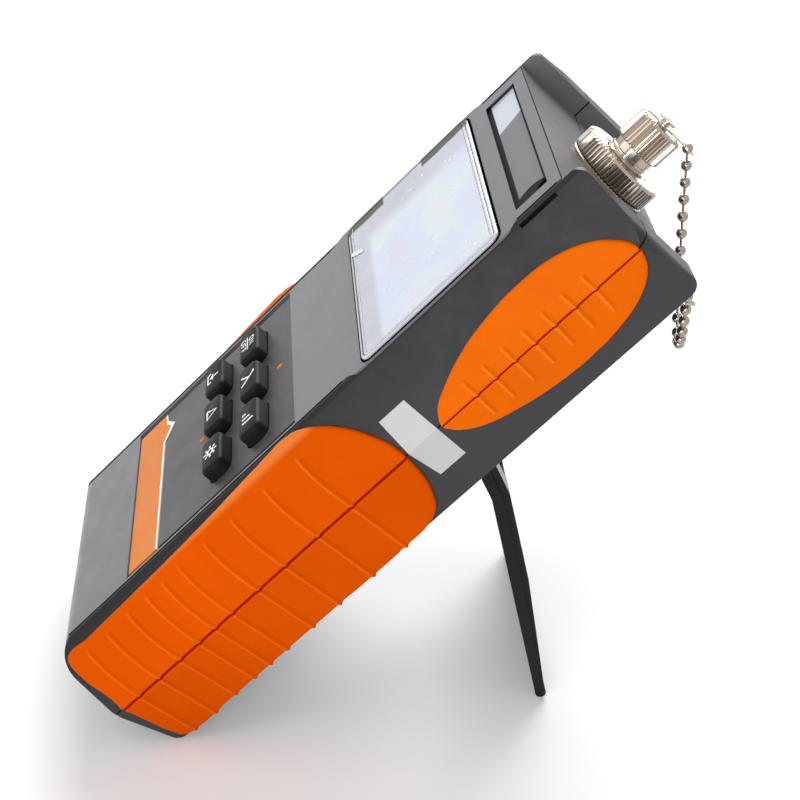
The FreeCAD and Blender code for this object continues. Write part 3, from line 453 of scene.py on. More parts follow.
# %% Paint light and shade on the plastics
# Painted highlights on the grips, then painted shade and light on the shells and the panel.
paint_rim_highlight(grip_orange, (0.9, 0.3, 0.07, 1))
paint_rib_highlight(grip_orange, (0.88, 0.17, 0.005, 1))
paint_rib_highlight(oval_orange_lit, (0.98, 0.25, 0.02, 1))
paint_light_along(shell_front, *RAIL_SHADE)
paint_light_along(panel_grey, *PANEL_LIGHT)
shade_card_recess(panel_grey)
for shell in (shell_front, shell_rear_lit):
    paint_recess_light(shell)
    paint_seam_shade(shell)
print("the plastics have their tones and their wear")

# %% [markdown]
# The other finishes are few.  Nickel plate is metal that has dulled in faint clouds.  Paper has a
# coarser grain than plastic.
# The board and the cells hide inside, so a moulded surface with their colour is enough for them.

# %% Metal, paper and inner parts
TARNISH = 0.88


def plated(name, colour, roughness):
    material, tree, shader = new_material(name, Metallic=1.0)
    place = object_place(tree)
    cloud = noise(tree, place, 160.0, 3.0)
    link(tree, mix_colour(tree, cloud, (*[c * TARNISH for c in colour], 1), (*colour, 1)),
         shader.inputs["Base Color"])
    fine = noise(tree, place, 900.0, 4.0, 0.7)
    link(tree, spread(tree, fine, 0.3, 0.7, roughness * 0.7, roughness * 1.4), shader.inputs["Roughness"])
    return material


# Painted shade: near-black with no reflection, for the shade in narrow gaps.
gap_shade_black = moulded("gap_shadow", (0.001, 0.001, 0.001), 0.9, Specular_IOR_Level=0.0)
nickel = plated("nickel_plate", (0.46, 0.395, 0.335), 0.12)
# Painted shade: darker, duller nickel for the roots of the knurls and for the rim under the ring.
root_shade_nickel = plated("nickel_in_grooves", (0.3, 0.25, 0.2), 0.25)
nickel_bead = plated("nickel_beads", (0.39, 0.345, 0.295), 0.14)
zinc = plated("zinc_plate", (0.6, 0.6, 0.6), 0.32)
paper = moulded("seal_paper", (0.6, 0.595, 0.585), 0.62, drift=0.02, grain=1400.0)
board_green = moulded("board_green", (0.02, 0.14, 0.05), 0.35)
cell_blue = moulded("cell_jacket", (0.05, 0.07, 0.2), 0.3)
white_plastic = moulded("light_guide", (0.75, 0.75, 0.75), 0.4)
legend_white = moulded("legend_print", (0.85, 0.85, 0.85), 0.5, drift=0.02)
mat_grey = moulded("keypad_silicone", (0.2, 0.2, 0.2), 0.6)
print("metal and paper are ready")

# %% [markdown]
# Each CAD node that keeps its own shape now takes its material.  The table names the node, or the
# start of the names of several like nodes.  Only the name card waits for a print of its own.

# %% Dress the CAD nodes
CAD_FINISHES = (
    ("front_shell", shell_front), ("rear_shell", shell_rear_lit), ("battery_cover", shell_rear_lit),
    ("face_panel", panel_grey), ("keypad_overlay", overlay_grey), ("band_strip", band_orange),
    ("oval_grip", oval_orange_lit), ("side_grip", grip_orange), ("key_", key_top), ("keypad_mat", mat_grey),
    ("screen_window", white_plastic), ("lcd_", white_plastic), ("seal_label", paper),
    ("main_board", board_green), ("battery_tray", inner_black), ("battery_cell", cell_blue),
    ("battery_contact", nickel), ("case_screw", zinc), ("stand_pin", zinc),
    ("kickstand", stand_black), ("detector_module", nickel), ("connector_rim", nickel),
    ("adapter_", nickel), ("dust_cap", nickel), ("cap_stud", nickel), ("swivel_tab", nickel),
    ("ball_chain", nickel), ("chain_anchor", nickel),
)


def dress(node_name, material):
    materials = frame["nodes"][node_name].data.materials
    materials.clear()
    materials.append(material)


dressed = 0
for node_name in frame["nodes"]:
    for start, material in CAD_FINISHES:
        if node_name.startswith(start):
            dress(node_name, material)
            dressed += 1
print(dressed, "of", len(frame["nodes"]), "CAD nodes are dressed")

# %% [markdown]
# ## Soft grips
#
# Orange rubber is moulded over both sides of the housing, in a front and a rear half that meet at
# the parting seam.  Each half is a plate a little over a millimetre thick with a soft rim and thin
# raised ribs across it.  Pushing ribs out of the slanted side directly would be awkward, so every
# half is first made flat, with its thickness along z.  A filled curve gives the outline, a voxel
# remesh turns the plate into even small faces, and a few rounds of smoothing melt its rim.

# %% A flat plate
GRIP_PROUD = 1.3
GRIP_ROOT = 0.9


def curve_mesh(curve):
    """Mesh of what a curve fills or sweeps; the curve isn't kept."""
    holder = bpy.data.objects.new(curve.name, curve)
    mesh = bpy.data.meshes.new_from_object(holder)
    bpy.data.objects.remove(holder)
    bpy.data.curves.remove(curve)
    return mesh


def outline_mesh(name, outline):
    """Filled plate through outline points, smooth except at the first and last of them."""
    line = bpy.data.curves.new(name, "CURVE")
    line.dimensions = "2D"
    line.fill_mode = "BOTH"
    line.resolution_u = 10
    line.extrude = (GRIP_PROUD + GRIP_ROOT) / 2
    path = line.splines.new("BEZIER")
    path.bezier_points.add(len(outline) - 1)
    path.use_cyclic_u = True
    for point, place in zip(path.bezier_points, outline):
        point.co = (*place, (GRIP_PROUD - GRIP_ROOT) / 2)
        kind = "VECTOR" if place in (outline[0], outline[-1]) else "AUTO"
        point.handle_left_type = point.handle_right_type = kind
    return curve_mesh(line)


print("each plate is", GRIP_PROUD + GRIP_ROOT, "mm thick, and", GRIP_PROUD, "mm of that shows")

# %% [markdown]
# Smoothing moves every vertex towards the middle of its neighbours, so it needs faces of one size,
# which the voxel remesh gives.  After a dozen rounds a sharp rim has melted into a round one.  The
# vertices near the seam are left out, because the two halves meet there in crisp straight edges.

# %% A soft rim
GRIP_CELL = 0.34
RIM_ROUNDS = 12
SEAM_KEPT = 1.3


def remeshed(name, mesh):
    holder = bpy.data.objects.new(name, mesh)
    bpy.context.scene.collection.objects.link(holder)
    even = holder.modifiers.new("even_faces", "REMESH")
    even.mode = "VOXEL"
    even.voxel_size = GRIP_CELL
    ready = holder.evaluated_get(bpy.context.evaluated_depsgraph_get())
    made = bpy.data.meshes.new_from_object(ready)
    bpy.data.objects.remove(holder)
    return made


def soft_plate(name, outline):
    """Plate of even small faces with a melted rim, still crisp along the seam."""
    bm = bmesh.new()
    bm.from_mesh(remeshed(name, outline_mesh(name, outline)))
    free = [v for v in bm.verts if abs(v.co.y - SEAM_HEIGHT) > SEAM_KEPT]
    for _ in range(RIM_ROUNDS):
        bmesh.ops.smooth_vert(bm, verts=free, factor=0.5, use_axis_x=True, use_axis_y=True, use_axis_z=True)
    return mesh_from(name, bm)


print("a rim is smoothed", RIM_ROUNDS, "times")

# %% [markdown]
# The ribs are pushed out along the plate's own normals, by an amount that falls off like a bell
# curve from each rib's line.  The same curve, moved a little to one side and narrowed, is kept as
# the attribute that the painted highlight on each rib's lit flank follows.  Along the seam the
# plate's top opens a little, so that the two halves leave a fine V between them.

# %% Ribs
RIBS_FROM, RIBS_OVER = 0.3 * GRIP_PROUD, 0.4 * GRIP_PROUD
SEAM_REACH = 0.9
# How strongly the painted highlight shows on a rib's lit flank.
FLANK_HIGHLIGHT = 0.8
FLANK_SHIFT = 0.65
FLANK_WIDTH = 0.6


def read_vectors(items, key):
    values = np.empty(len(items) * 3)
    items.foreach_get(key, values)
    return values.reshape(-1, 3)


def raise_ribs(mesh, ribs, height, width, opening):
    """ribs: functions that give the distance from a rib's line and how strongly it shows there."""
    places = read_vectors(mesh.vertices, "co")
    normals = read_vectors(mesh.vertex_normals, "vector")
    lift = np.zeros(len(places))
    lit_flank = np.zeros(len(places))
    for rib in ribs:
        away, strength = rib(places[:, 0], places[:, 1])
        lift = np.maximum(lift, strength * np.exp(-(away / width) ** 2))
        flank = (away + FLANK_SHIFT * width) / (FLANK_WIDTH * width)
        lit_flank = np.maximum(lit_flank, FLANK_HIGHLIGHT * strength * np.exp(-flank ** 2))
    outer = np.clip((places[:, 2] - RIBS_FROM) / RIBS_OVER, 0, 1)
    mesh.attributes.new("lit_flank", "FLOAT", "POINT").data.foreach_set("value", lit_flank * outer)
    near_seam = np.abs(places[:, 1] - SEAM_HEIGHT) < SEAM_REACH
    normals[near_seam] = (0, 0, 1)
    raised = places + normals * (lift * outer * height)[:, None]
    lean = np.clip(places[:, 2] / GRIP_PROUD, 0, 1) * opening
    raised[:, 1] += np.where(near_seam, np.sign(places[:, 1] - SEAM_HEIGHT) * lean, 0)
    return raised


print("a rib's flank wears over", FLANK_WIDTH, "of its width")

# %% [markdown]
# The plate is then laid against the side it belongs to.  In front of the seam the side slants in
# towards the face, and behind the seam towards the back.  Near the seam the thickness turns over
# from one slant to the other, and past the front rail the plate wraps round it.

# %% Laying a plate on its side
FRONT_SLANT = -9.7 / 21.5
REAR_SLANT = 3.9 / 21.0
RIDGE_HALF = 48.3
RIDGE_REACH = 6.0
RAIL_RADIUS = 2.0
RAIL_START = 41.3
WALL_FACING = 0.6
WALL_REACH = 0.5


def lay_on_side(mesh, places, side, front):
    """Flat plate coordinates (along, height, thickness) to the meter's right or left side."""
    slant = FRONT_SLANT if front else REAR_SLANT
    stretch = math.hypot(1.0, slant)
    straight = np.minimum(places[:, 1], RAIL_START)
    turn = np.clip(np.abs(straight - SEAM_HEIGHT) / RIDGE_REACH, 0, 1)
    out_across = stretch + (1.0 / stretch - stretch) * turn
    out_height = -slant / stretch * turn
    across = RIDGE_HALF + slant * (straight - SEAM_HEIGHT) + places[:, 2] * out_across
    height = straight + places[:, 2] * out_height
    over = np.maximum(places[:, 1] - RAIL_START, 0) * stretch
    facing = math.atan2(-slant, 1.0)
    angle = facing + over / RAIL_RADIUS
    reach = RAIL_RADIUS + places[:, 2]
    across += np.where(over > 0, reach * (np.cos(angle) - math.cos(facing)), 0)
    height += np.where(over > 0, reach * (np.sin(angle) - math.sin(facing)), 0)
    laid = np.column_stack((side * across, places[:, 0], height))
    mesh.vertices.foreach_set("co", laid.ravel())
    mesh.update()


def finish_grip(name, node, plate, ribs, side, front, rubber):
    """Lays a plate on its side; its walls along the seam are darker, as light hardly gets there."""
    lay_on_side(plate, raise_ribs(plate, *ribs), side, front)
    bm = bmesh.new()
    bm.from_mesh(plate)
    bm.normal_update()
    for face in bm.faces:
        away = abs(face.calc_center_median().z - SEAM_HEIGHT)
        if abs(face.normal.z) > WALL_FACING and away < WALL_REACH:
            face.material_index = 1
    finish_piece(name, bm, [rubber, seam_red], "housing", [node], sharp=math.radians(60))


print("the side slants by", round(math.degrees(math.atan(-FRONT_SLANT)), 1), "degrees in front of its ridge")

# %% [markdown]
# The long grip's outline is nearly straight along the face and the back, with full round corners
# at its upper end.  Ten ribs cross it.  In front of the seam each rib bows towards the lower end
# and stops short of the rim, and behind the seam it runs right over the rear edge, which is why
# the outline of the meter looks scalloped there.

# %% The long side grips
HALVES = (("front", True), ("rear", False))
SIDES = (("right", 1), ("left", -1))
RIB_PLACES = (8.3, 16.4, 24.8, 32.3, 38.6, 45.2, 55.2, 65.4, 77.8, 90.1)
RIB_HEIGHT, RIB_WIDTH, SEAM_OPENING = 0.62, 0.6, 0.3
RIB_START, RIB_END, RIB_FADE = 21.5, 37.9, 1.6
RIB_BOW_FROM, RIB_BOW_BACK, RIB_BOW_LENGTH = 5.6, 3.4, 16.0
REAR_RIB_LEAN = 1.6
FRONT_OUTLINE = ((1.2, 21.03), (0.7, 25.2), (-0.9, 30.8), (-1.4, 35.0), (-1.1, 38.3), (-0.1, 39.5),
                 (8.0, 39.7), (45.0, 40.6), (80.0, 42.2), (88.5, 42.5), (93.0, 41.8), (97.8, 39.3),
                 (102.3, 35.3), (106.0, 30.2), (108.6, 25.0), (109.4, 21.03))
REAR_OUTLINE = ((1.5, 20.97), (1.6, 13.0), (1.9, 5.0), (3.0, 1.2), (6.5, 0.15), (20.0, 0.05),
                (60.0, 0.05), (88.0, 0.05), (97.0, 0.6), (101.8, 2.8), (105.0, 7.0), (107.6, 13.0),
                (109.4, 20.97))


def front_rib(place):
    def rib(along_plate, height):
        share = (height - RIB_START) / RIB_BOW_LENGTH
        line = place - RIB_BOW_FROM * share + RIB_BOW_BACK * share ** 2
        return along_plate - line, np.clip((RIB_END - height) / RIB_FADE, 0, 1)
    return rib


def rear_rib(place):
    def rib(along_plate, height):
        share = (SEAM_HEIGHT - height) / SEAM_HEIGHT
        return along_plate - (place - REAR_RIB_LEAN * share), np.ones(len(height))
    return rib


for word, side in SIDES:
    for half, front in HALVES:
        outline, shape = (FRONT_OUTLINE, front_rib) if front else (REAR_OUTLINE, rear_rib)
        ribs = ([shape(place) for place in RIB_PLACES], RIB_HEIGHT, RIB_WIDTH, SEAM_OPENING)
        finish_grip("ribbed_grip_%s_%s" % (half, word), "side_grip_%s_%s" % (half, word),
                    soft_plate("side_plate", outline), ribs, side, front, grip_orange)

# %% [markdown]
# The short oval grips higher up are made in the same way.  Seven pairs of small ticks stand along
# their seam instead of full ribs.

# %% The oval grips
TICK_PLACES = [133.8 + 6.53 * index for index in range(7)]
TICK_HEIGHT, TICK_WIDTH, OVAL_OPENING = 0.6, 0.5, 0.18
TICK_LEAN, TICK_FADE = 0.12, 0.5
OVAL_FRONT = ((121.6, 21.03), (122.2, 22.6), (124.0, 24.6), (128.5, 26.8), (137.3, 29.9), (147.4, 31.9),
              (160.5, 32.8), (171.4, 31.8), (179.9, 28.8), (184.2, 25.6), (186.4, 23.0), (186.9, 21.03))
OVAL_REAR = ((121.6, 20.97), (122.0, 19.0), (124.2, 15.8), (128.6, 12.6), (137.8, 9.4), (148.1, 7.4),
             (159.5, 6.8), (170.4, 8.0), (178.4, 10.6), (183.7, 14.3), (186.3, 18.2), (186.9, 20.97))


def tick(place, reach, toward):
    def rib(along_plate, height):
        from_seam = toward * (height - SEAM_HEIGHT)
        line = place - TICK_LEAN * from_seam
        return along_plate - line, np.clip((reach - from_seam) / TICK_FADE, 0, 1)
    return rib


for word, side in SIDES:
    for half, front in HALVES:
        outline, reach, toward = (OVAL_FRONT, 4.2, 1) if front else (OVAL_REAR, 7.6, -1)
        ticks = ([tick(place, reach, toward) for place in TICK_PLACES], TICK_HEIGHT, TICK_WIDTH, OVAL_OPENING)
        finish_grip("ticked_grip_%s_%s" % (half, word), "oval_grip_%s_%s" % (half, word),
                    soft_plate("oval_plate", outline), ticks, side, front, oval_orange_lit)

# %% [markdown]
# ## Connector
#
# The port, its adapter ring and the dust cap are turned brass with nickel plate, so one helper
# turns them all.  It starts from a circle and extrudes it from one radius and height to the next.
# Where a step is marked as toothed, every other pair of points stays on the radius and the pair
# between them drops to the root of the knurl, which gives straight ridges with real flanks.

# %% Turning on a lathe
PORT_HEIGHT = 18.0
PORT = HOUSING @ Matrix.Translation((0, 0, PORT_HEIGHT)) @ Matrix.Rotation(math.radians(-90), 4, "X")
ROUND = 96
TURNED_SHARP = math.radians(25)


def made_of(items, kind):
    """Those of an operator's results that are vertices, edges or faces."""
    return [item for item in items if isinstance(item, kind)]


def turn_profile(bm, profile, teeth=0, depth=0.0, closed=True):
    """Body of revolution round Z through (radius, height) or (radius, height, True) for teeth."""
    steps = 4 * teeth if teeth else ROUND
    loop = bmesh.ops.create_circle(bm, radius=1.0, segments=steps)["verts"]
    edges = list({edge for vert in loop for edge in vert.link_edges})
    first_edges = edges
    roots = set()
    for index, (radius, height, *toothed) in enumerate(profile):
        if index:
            geometry = bmesh.ops.extrude_edge_only(bm, edges=edges)["geom"]
            loop = made_of(geometry, bmesh.types.BMVert)
            edges = [edge for edge in made_of(geometry, bmesh.types.BMEdge) if set(edge.verts) <= set(loop)]
        for vert in loop:
            angle = math.atan2(vert.co.y, vert.co.x)
            root = toothed and round(angle / math.tau * steps) % 4 > 1
            reach = radius - depth if root else radius
            if root:
                roots.add(vert)
            vert.co = (reach * math.cos(angle), reach * math.sin(angle), height)
    if closed:
        bmesh.ops.bridge_loops(bm, edges=first_edges + edges)
    else:
        bmesh.ops.holes_fill(bm, edges=first_edges + edges, sides=0)
    # Faces at the roots of the teeth take the second material: painted shade in the knurl's grooves.
    for face in bm.faces:
        if all(vert in roots for vert in face.verts):
            face.material_index = 1


def turned(name, node, body, materials, profile, **knurl):
    bm = bmesh.new()
    turn_profile(bm, profile, **knurl)
    finish_piece(name, bm, materials, body, [node], PORT, TURNED_SHARP)


print("a plain turned piece has", ROUND, "sides")

# %% [markdown]
# The rim is a plain washer on the floor of the recess, all in the darker nickel: painted shade under
# the ring.  The ring turns round the port by its 62 fine teeth, with painted shade at their roots.
# The barrel carries the thread, and at this size a few plain grooves read as the thread while they
# cost far fewer faces than a helix.

# %% Rim, ring and barrel
turned("port_rim", "connector_rim", "housing", [root_shade_nickel],
       [(6.1, 184.5), (12.3, 184.5), (12.3, 185.3), (11.9, 185.65), (6.1, 185.65)])
turned("knurled_ring", "adapter_ring", "ring", [nickel, root_shade_nickel],
       [(6.3, 185.8), (11.75, 185.8), (12.3, 186.2, True), (12.3, 190.8, True), (11.5, 191.5),
        (7.6, 191.5), (7.3, 191.3), (6.3, 191.3)], teeth=62, depth=0.42)
turned("port_barrel", "adapter_barrel", "housing", [nickel],
       [(1.25, 180.1), (6.0, 180.1), (6.0, 191.9), (5.85, 192.05), (5.6, 192.1), (5.6, 192.5),
        (5.85, 192.55), (6.0, 192.7), (6.0, 193.1), (5.85, 193.25), (5.6, 193.3), (5.6, 193.6),
        (5.9, 193.7), (5.9, 195.4), (5.3, 195.4), (5.3, 200.8), (5.0, 201.1), (1.25, 201.1)])

# %% [markdown]
# The dust cap screws over the barrel.  Its knurl is coarser than the ring's.  The stud on its roof
# holds the chain's tab between a shoulder and a flanged head.

# %% Dust cap and stud
turned("knurled_cap", "dust_cap", "cap", [nickel, root_shade_nickel],
       [(5.6, 195.7), (6.4, 195.7), (6.8, 196.0, True), (6.8, 203.4, True), (6.15, 204.1), (5.7, 204.1),
        (5.5, 203.9), (1.05, 203.9), (1.05, 202.9), (5.6, 202.9)], teeth=38, depth=0.45)
turned("flanged_stud", "cap_stud", "cap", [nickel],
       [(0.05, 202.9), (1.0, 202.9), (1.0, 203.95), (1.75, 204.0), (1.75, 204.3), (1.0, 204.35),
        (1.0, 204.95), (1.5, 205.05), (1.5, 205.3), (1.1, 205.4), (1.1, 205.6), (2.4, 205.8),
        (2.7, 206.0), (2.7, 206.3), (2.4, 206.5), (1.3, 206.4), (0.05, 206.35)], closed=False)
print("the connector stands", 206.5 - RECESS_FLOOR, "mm above its recess")

# %% [markdown]
# The ball chain hangs from the tab to a ring on the back.  A hanging chain follows a catenary, so
# the places of its balls are worked out from that curve and the length of the chain.  A ball is a
# small sphere with a flat round each pole where the link's wire goes in, and all balls and links
# are one mesh.

# %% The ball chain
BALL_PITCH = 4.46 * MILLIMETRE
CHAIN_STEPS = 18
FIRST_BALL = HOUSING @ Vector((0, 204.6, 8.5))
LAST_BALL = HOUSING @ Vector((38.0, 184.0, -3.0))
WIDEST = 60
SETTLED = 1e-12


def hanging_points(start, end, steps, pitch):
    """Points evenly spaced along a hanging chain; halving finds the catenary that has its length."""
    span = math.dist(start[:2], end[:2])
    rise = end[2] - start[2]
    chord = math.sqrt((steps * pitch) ** 2 - rise ** 2)
    low, high = span / WIDEST, span * WIDEST
    while high - low > SETTLED:
        middle = (low + high) / 2
        low, high = (middle, high) if 2 * middle * math.sinh(span / (2 * middle)) > chord else (low, middle)
    lowest = span / 2 - low * math.asinh(rise / chord)
    for index in range(steps + 1):
        on = lowest + low * math.asinh(index * pitch / low - math.sinh(lowest / low))
        drop = low * (math.cosh((on - lowest) / low) - math.cosh(lowest / low))
        flat = start.lerp(end, on / span)
        yield Vector((flat.x, flat.y, start.z + drop))


beads = list(hanging_points(FIRST_BALL, LAST_BALL, CHAIN_STEPS, BALL_PITCH))
print("the chain is", round(CHAIN_STEPS * BALL_PITCH / MILLIMETRE, 1), "mm long")

# %% [markdown]
# to_track_quat gives the turn that points a piece's own Z along a direction.  A ball is turned to
# the line between its two neighbours, so its flats face them, and a link's wire runs straight from
# ball to ball.

# %% Balls and links
BALL_RADIUS = 1.5 * MILLIMETRE
BALL_FLAT = 0.93 * BALL_RADIUS
WIRE_RADIUS = 0.36 * MILLIMETRE


def aim(bm, verts, place, run):
    """Turns vertices from upright to a direction, and takes them to their place."""
    turn = run.to_track_quat("Z", "Y").to_matrix().to_4x4()
    bmesh.ops.transform(bm, matrix=Matrix.Translation(place) @ turn, verts=verts)


chain = bmesh.new()
for index, bead in enumerate(beads):
    ball = bmesh.ops.create_uvsphere(chain, u_segments=24, v_segments=16, radius=BALL_RADIUS)["verts"]
    for vert in ball:
        vert.co.z = max(-BALL_FLAT, min(BALL_FLAT, vert.co.z))
    aim(chain, ball, bead, beads[min(index + 1, CHAIN_STEPS)] - beads[max(index - 1, 0)])
for here, there in zip(beads, beads[1:]):
    wire = bmesh.ops.create_cone(chain, cap_ends=True, cap_tris=False, segments=12, radius1=WIRE_RADIUS,
                                 radius2=WIRE_RADIUS, depth=(there - here).length)["verts"]
    aim(chain, wire, (here + there) / 2, there - here)
bead_chain = into_scene("bead_chain", mesh_from("bead_chain", chain), [nickel_bead], math.radians(40))
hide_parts("ball_chain")
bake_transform(bead_chain)

# %% [markdown]
# ## Keys
#
# Each key is a rubber cap with full corners, a soft top edge and a thin lip that keeps it under the
# keypad film.  A flat rounded face is the easiest start.  Extruding it gives the sides, and a few
# insets that each step in and up by a little less make the round top edge.

# %% Building up from a rounded face
def centred(centre, half):
    """Lowest and highest corner of a rectangle."""
    return Vector(centre) - Vector(half), Vector(centre) + Vector(half)


def rounded_face(bm, low, high, corner, height, segments=6):
    """Rectangle between two corners of the face plane, with rounded corners."""
    spots = ((low[0], low[1]), (high[0], low[1]), (high[0], high[1]), (low[0], high[1]))
    verts = [bm.verts.new((*spot, height)) for spot in spots]
    bm.faces.new(verts)
    made = bmesh.ops.bevel(bm, geom=verts, offset=corner, segments=segments, profile=0.5,
                           affect="VERTICES", material=-1)
    return max((vert.link_faces[0] for vert in made["verts"]), key=lambda face: len(face.verts))


def raise_face(bm, face, height):
    """Extrudes the face to a height and returns the new top."""
    top, = made_of(bmesh.ops.extrude_face_region(bm, geom=[face])["geom"], bmesh.types.BMFace)
    for vert in top.verts:
        vert.co.z = height
    return top


def step_in(bm, face, inset, height, material=0):
    """Insets the face and moves it to a height; the ring round it gets a material."""
    ring = bmesh.ops.inset_region(bm, faces=[face], thickness=inset, use_even_offset=True)["faces"]
    for vert in face.verts:
        vert.co.z = height
    for part in ring:
        part.material_index = material
    return face


print("keys start from a rounded face")

# %% [markdown]
# All six keys have one shape, so a loop makes them.  The lip is a millimetre wider all round than
# the key.  Each key rides on a body of its own, because each is pressed on its own.

# %% The six keys
KEY_PLACES = {"key_load": (-19.6, 63.7), "key_reference": (0, 63.7), "key_backlight": (19.6, 63.7),
              "key_power": (-19.6, 78.3), "key_wavelength": (0, 78.3), "key_unit": (19.6, 78.3)}
KEY_HALF = (7.9, 4.0)
LIP_HALF = (8.9, 5.0)
KEY_CORNER = 2.6
KEY_LOW, KEY_LIP = 37.2, 38.0
KEY_BODY = 38.4
KEY_EDGE = ((0.22, 44.95), (0.08, 45.3), (0.15, 45.6), (0.22, 45.85), (0.3, 46.02), (0.4, 46.12))

for key_name, place in KEY_PLACES.items():
    key = bmesh.new()
    raise_face(key, rounded_face(key, *centred(place, LIP_HALF), KEY_CORNER, KEY_LOW), KEY_LIP)
    top = raise_face(key, rounded_face(key, *centred(place, KEY_HALF), KEY_CORNER, KEY_LIP), KEY_BODY)
    for inset, height in KEY_EDGE:
        step_in(key, top, inset, height)
    finish_piece(key_name + "_cap", key, [key_top], key_name + "_body",
                 [key_name], sharp=math.radians(50))

# %% [markdown]
# The film lies close round each key, with round corners.  A thin frame as high as the film fills
# the corners of the opening below it.

# %% Key surrounds
SURROUND_TOP, SURROUND_LOW = 42.12, 41.2
SURROUND_LOOPS = (((9.1, 5.1), 1.5), ((8.15, 4.25), 2.85))

surround = bmesh.new()
for place in KEY_PLACES.values():
    edges = []
    for half, corner in SURROUND_LOOPS:
        face = rounded_face(surround, *centred(place, half), corner, SURROUND_TOP)
        edges += face.edges[:]
        bmesh.ops.delete(surround, geom=[face], context="FACES_ONLY")
    made = bmesh.ops.bridge_loops(surround, edges=edges)["faces"]
    lowered = bmesh.ops.extrude_face_region(surround, geom=made)["geom"]
    for vert in made_of(lowered, bmesh.types.BMVert):
        vert.co.z = SURROUND_LOW
finish_piece("key_surrounds", surround, [overlay_grey], "housing", sharp=math.radians(30))

# %% [markdown]
# The legends are white print.  They are drawn as strokes: each stroke is a curve with a round
# section, made a mesh, pressed nearly flat and laid on the key.  The signs are plain ones, such as
# a sun for the backlight and the Greek letter for wavelength.

# %% Letters and signs
SUN_RADIUS = 1.05
RAY_FROM, RAY_TO = 1.6, 2.5
ROW_SHIFT = 1.65


def round_line(wide, tall, steps):
    return [(wide * math.cos(a), tall * math.sin(a)) for a in np.linspace(0, math.tau, steps + 1)]


def shifted(lines, across, up):
    return [[(x + across, y + up) for x, y in line] for line in lines]


def ray(degrees):
    x, y = math.cos(math.radians(degrees)), math.sin(math.radians(degrees))
    return [(RAY_FROM * x, RAY_FROM * y), (RAY_TO * x, RAY_TO * y)]


LETTER_O = [round_line(0.8, 0.95, 16)]
LETTER_N = [[(-0.7, -0.95), (-0.7, 0.95), (0.7, -0.95), (0.7, 0.95)]]
LETTER_F = [[(-0.55, -0.95), (-0.55, 0.95), (0.7, 0.95)], [(-0.55, 0.05), (0.45, 0.05)]]
LEGENDS = {
    "key_power": shifted(LETTER_O, -1.2, ROW_SHIFT) + shifted(LETTER_N, 1.2, ROW_SHIFT)
                 + [[(-3.2, 0.0), (3.2, 0.0)]] + shifted(LETTER_O, -2.2, -ROW_SHIFT)
                 + shifted(LETTER_F, 0.0, -ROW_SHIFT) + shifted(LETTER_F, 2.2, -ROW_SHIFT),
    "key_wavelength": [[(-2.3, 2.3), (-1.5, 2.3), (2.1, -2.3)], [(-0.25, 0.6), (-2.4, -2.3)]],
    "key_unit": [[(x, -1.9), (x, top)] for x, top in ((-2.0, -0.5), (0.0, 0.9), (2.0, 2.2))],
    "key_load": [[(0, 2.2), (0, -0.9)], [(-1.1, 0.2), (0, -0.95), (1.1, 0.2)],
                 [(-2.3, -0.7), (-2.3, -2.0), (2.3, -2.0), (2.3, -0.7)]],
    "key_reference": [[(-2.1, -1.7), (0, 2.0), (2.1, -1.7), (-2.1, -1.7)]],
    "key_backlight": [round_line(SUN_RADIUS, SUN_RADIUS, 20)] + [ray(a) for a in range(0, 360, 45)],
}
print(len(LEGENDS), "legends have", sum(len(lines) for lines in LEGENDS.values()), "strokes")

# %% [markdown]
# The round strokes are pressed to a fifth of their width.  The words ON and OFF are smaller than
# the signs, so they are drawn with a finer pen, or they would close up into a blob.

# %% Print the legends
STROKE = 0.36
WORD_STROKE = 0.21
PRINT_FLAT = 0.2
KEY_TOP = 46.13


def stroke_mesh(name, lines, width):
    pen = bpy.data.curves.new(name, "CURVE")
    pen.dimensions = "3D"
    pen.bevel_depth = width
    pen.bevel_resolution = 2
    pen.use_fill_caps = True
    for line in lines:
        path = pen.splines.new("POLY")
        path.points.add(len(line) - 1)
        for point, (x, y) in zip(path.points, line):
            point.co = (x, y, 0, 1)
    return curve_mesh(pen)


def print_strokes(name, lines, width, centre, height, material, body):
    bm = bmesh.new()
    bm.from_mesh(stroke_mesh(name, lines, width))
    bmesh.ops.scale(bm, vec=(1, 1, PRINT_FLAT), verts=bm.verts[:])
    bmesh.ops.translate(bm, vec=(*centre, height), verts=bm.verts[:])
    finish_piece(name, bm, [material], body)


for key_name, lines in LEGENDS.items():
    width = WORD_STROKE if key_name == "key_power" else STROKE
    print_strokes(key_name + "_legend", lines, width, KEY_PLACES[key_name], KEY_TOP, legend_white,
                  key_name + "_body")

# %% [markdown]
# ## Band and marks
#
# The orange band below the keys is printed film.  It ends in a small angled tab at one side, and a
# fine white line follows its upper edge.  The tab lies on the keypad film, so it is only as thick
# as print.  Two small orange marks sit above and below the keys.

# %% The band
BAND_LOW, BAND_FACE = 41.0, 42.1
BAND_OUTLINE = ((-33.4, 27.1), (33.4, 27.1), (33.4, 38.3), (-33.4, 38.3))
TAB_OUTLINE = ((-33.2, 38.0), (-18.6, 38.0), (-24.9, 41.5), (-27.6, 39.3), (-33.2, 38.6))
LINE_LOW = 41.3
LINE_OUTLINE = ((33.4, 38.0), (33.4, 38.55), (-18.4, 38.6), (-25.0, 42.6), (-28.9, 39.5), (-33.2, 38.9),
                (-33.2, 38.5), (-27.8, 38.9), (-25.0, 41.0), (-18.7, 37.9))


def flat_piece(bm, outline, low, high):
    """Plate through outline points of the face plane, between two heights."""
    face = bm.faces.new([bm.verts.new((*spot, low)) for spot in outline])
    for vert in made_of(bmesh.ops.extrude_face_region(bm, geom=[face])["geom"], bmesh.types.BMVert):
        vert.co.z = high


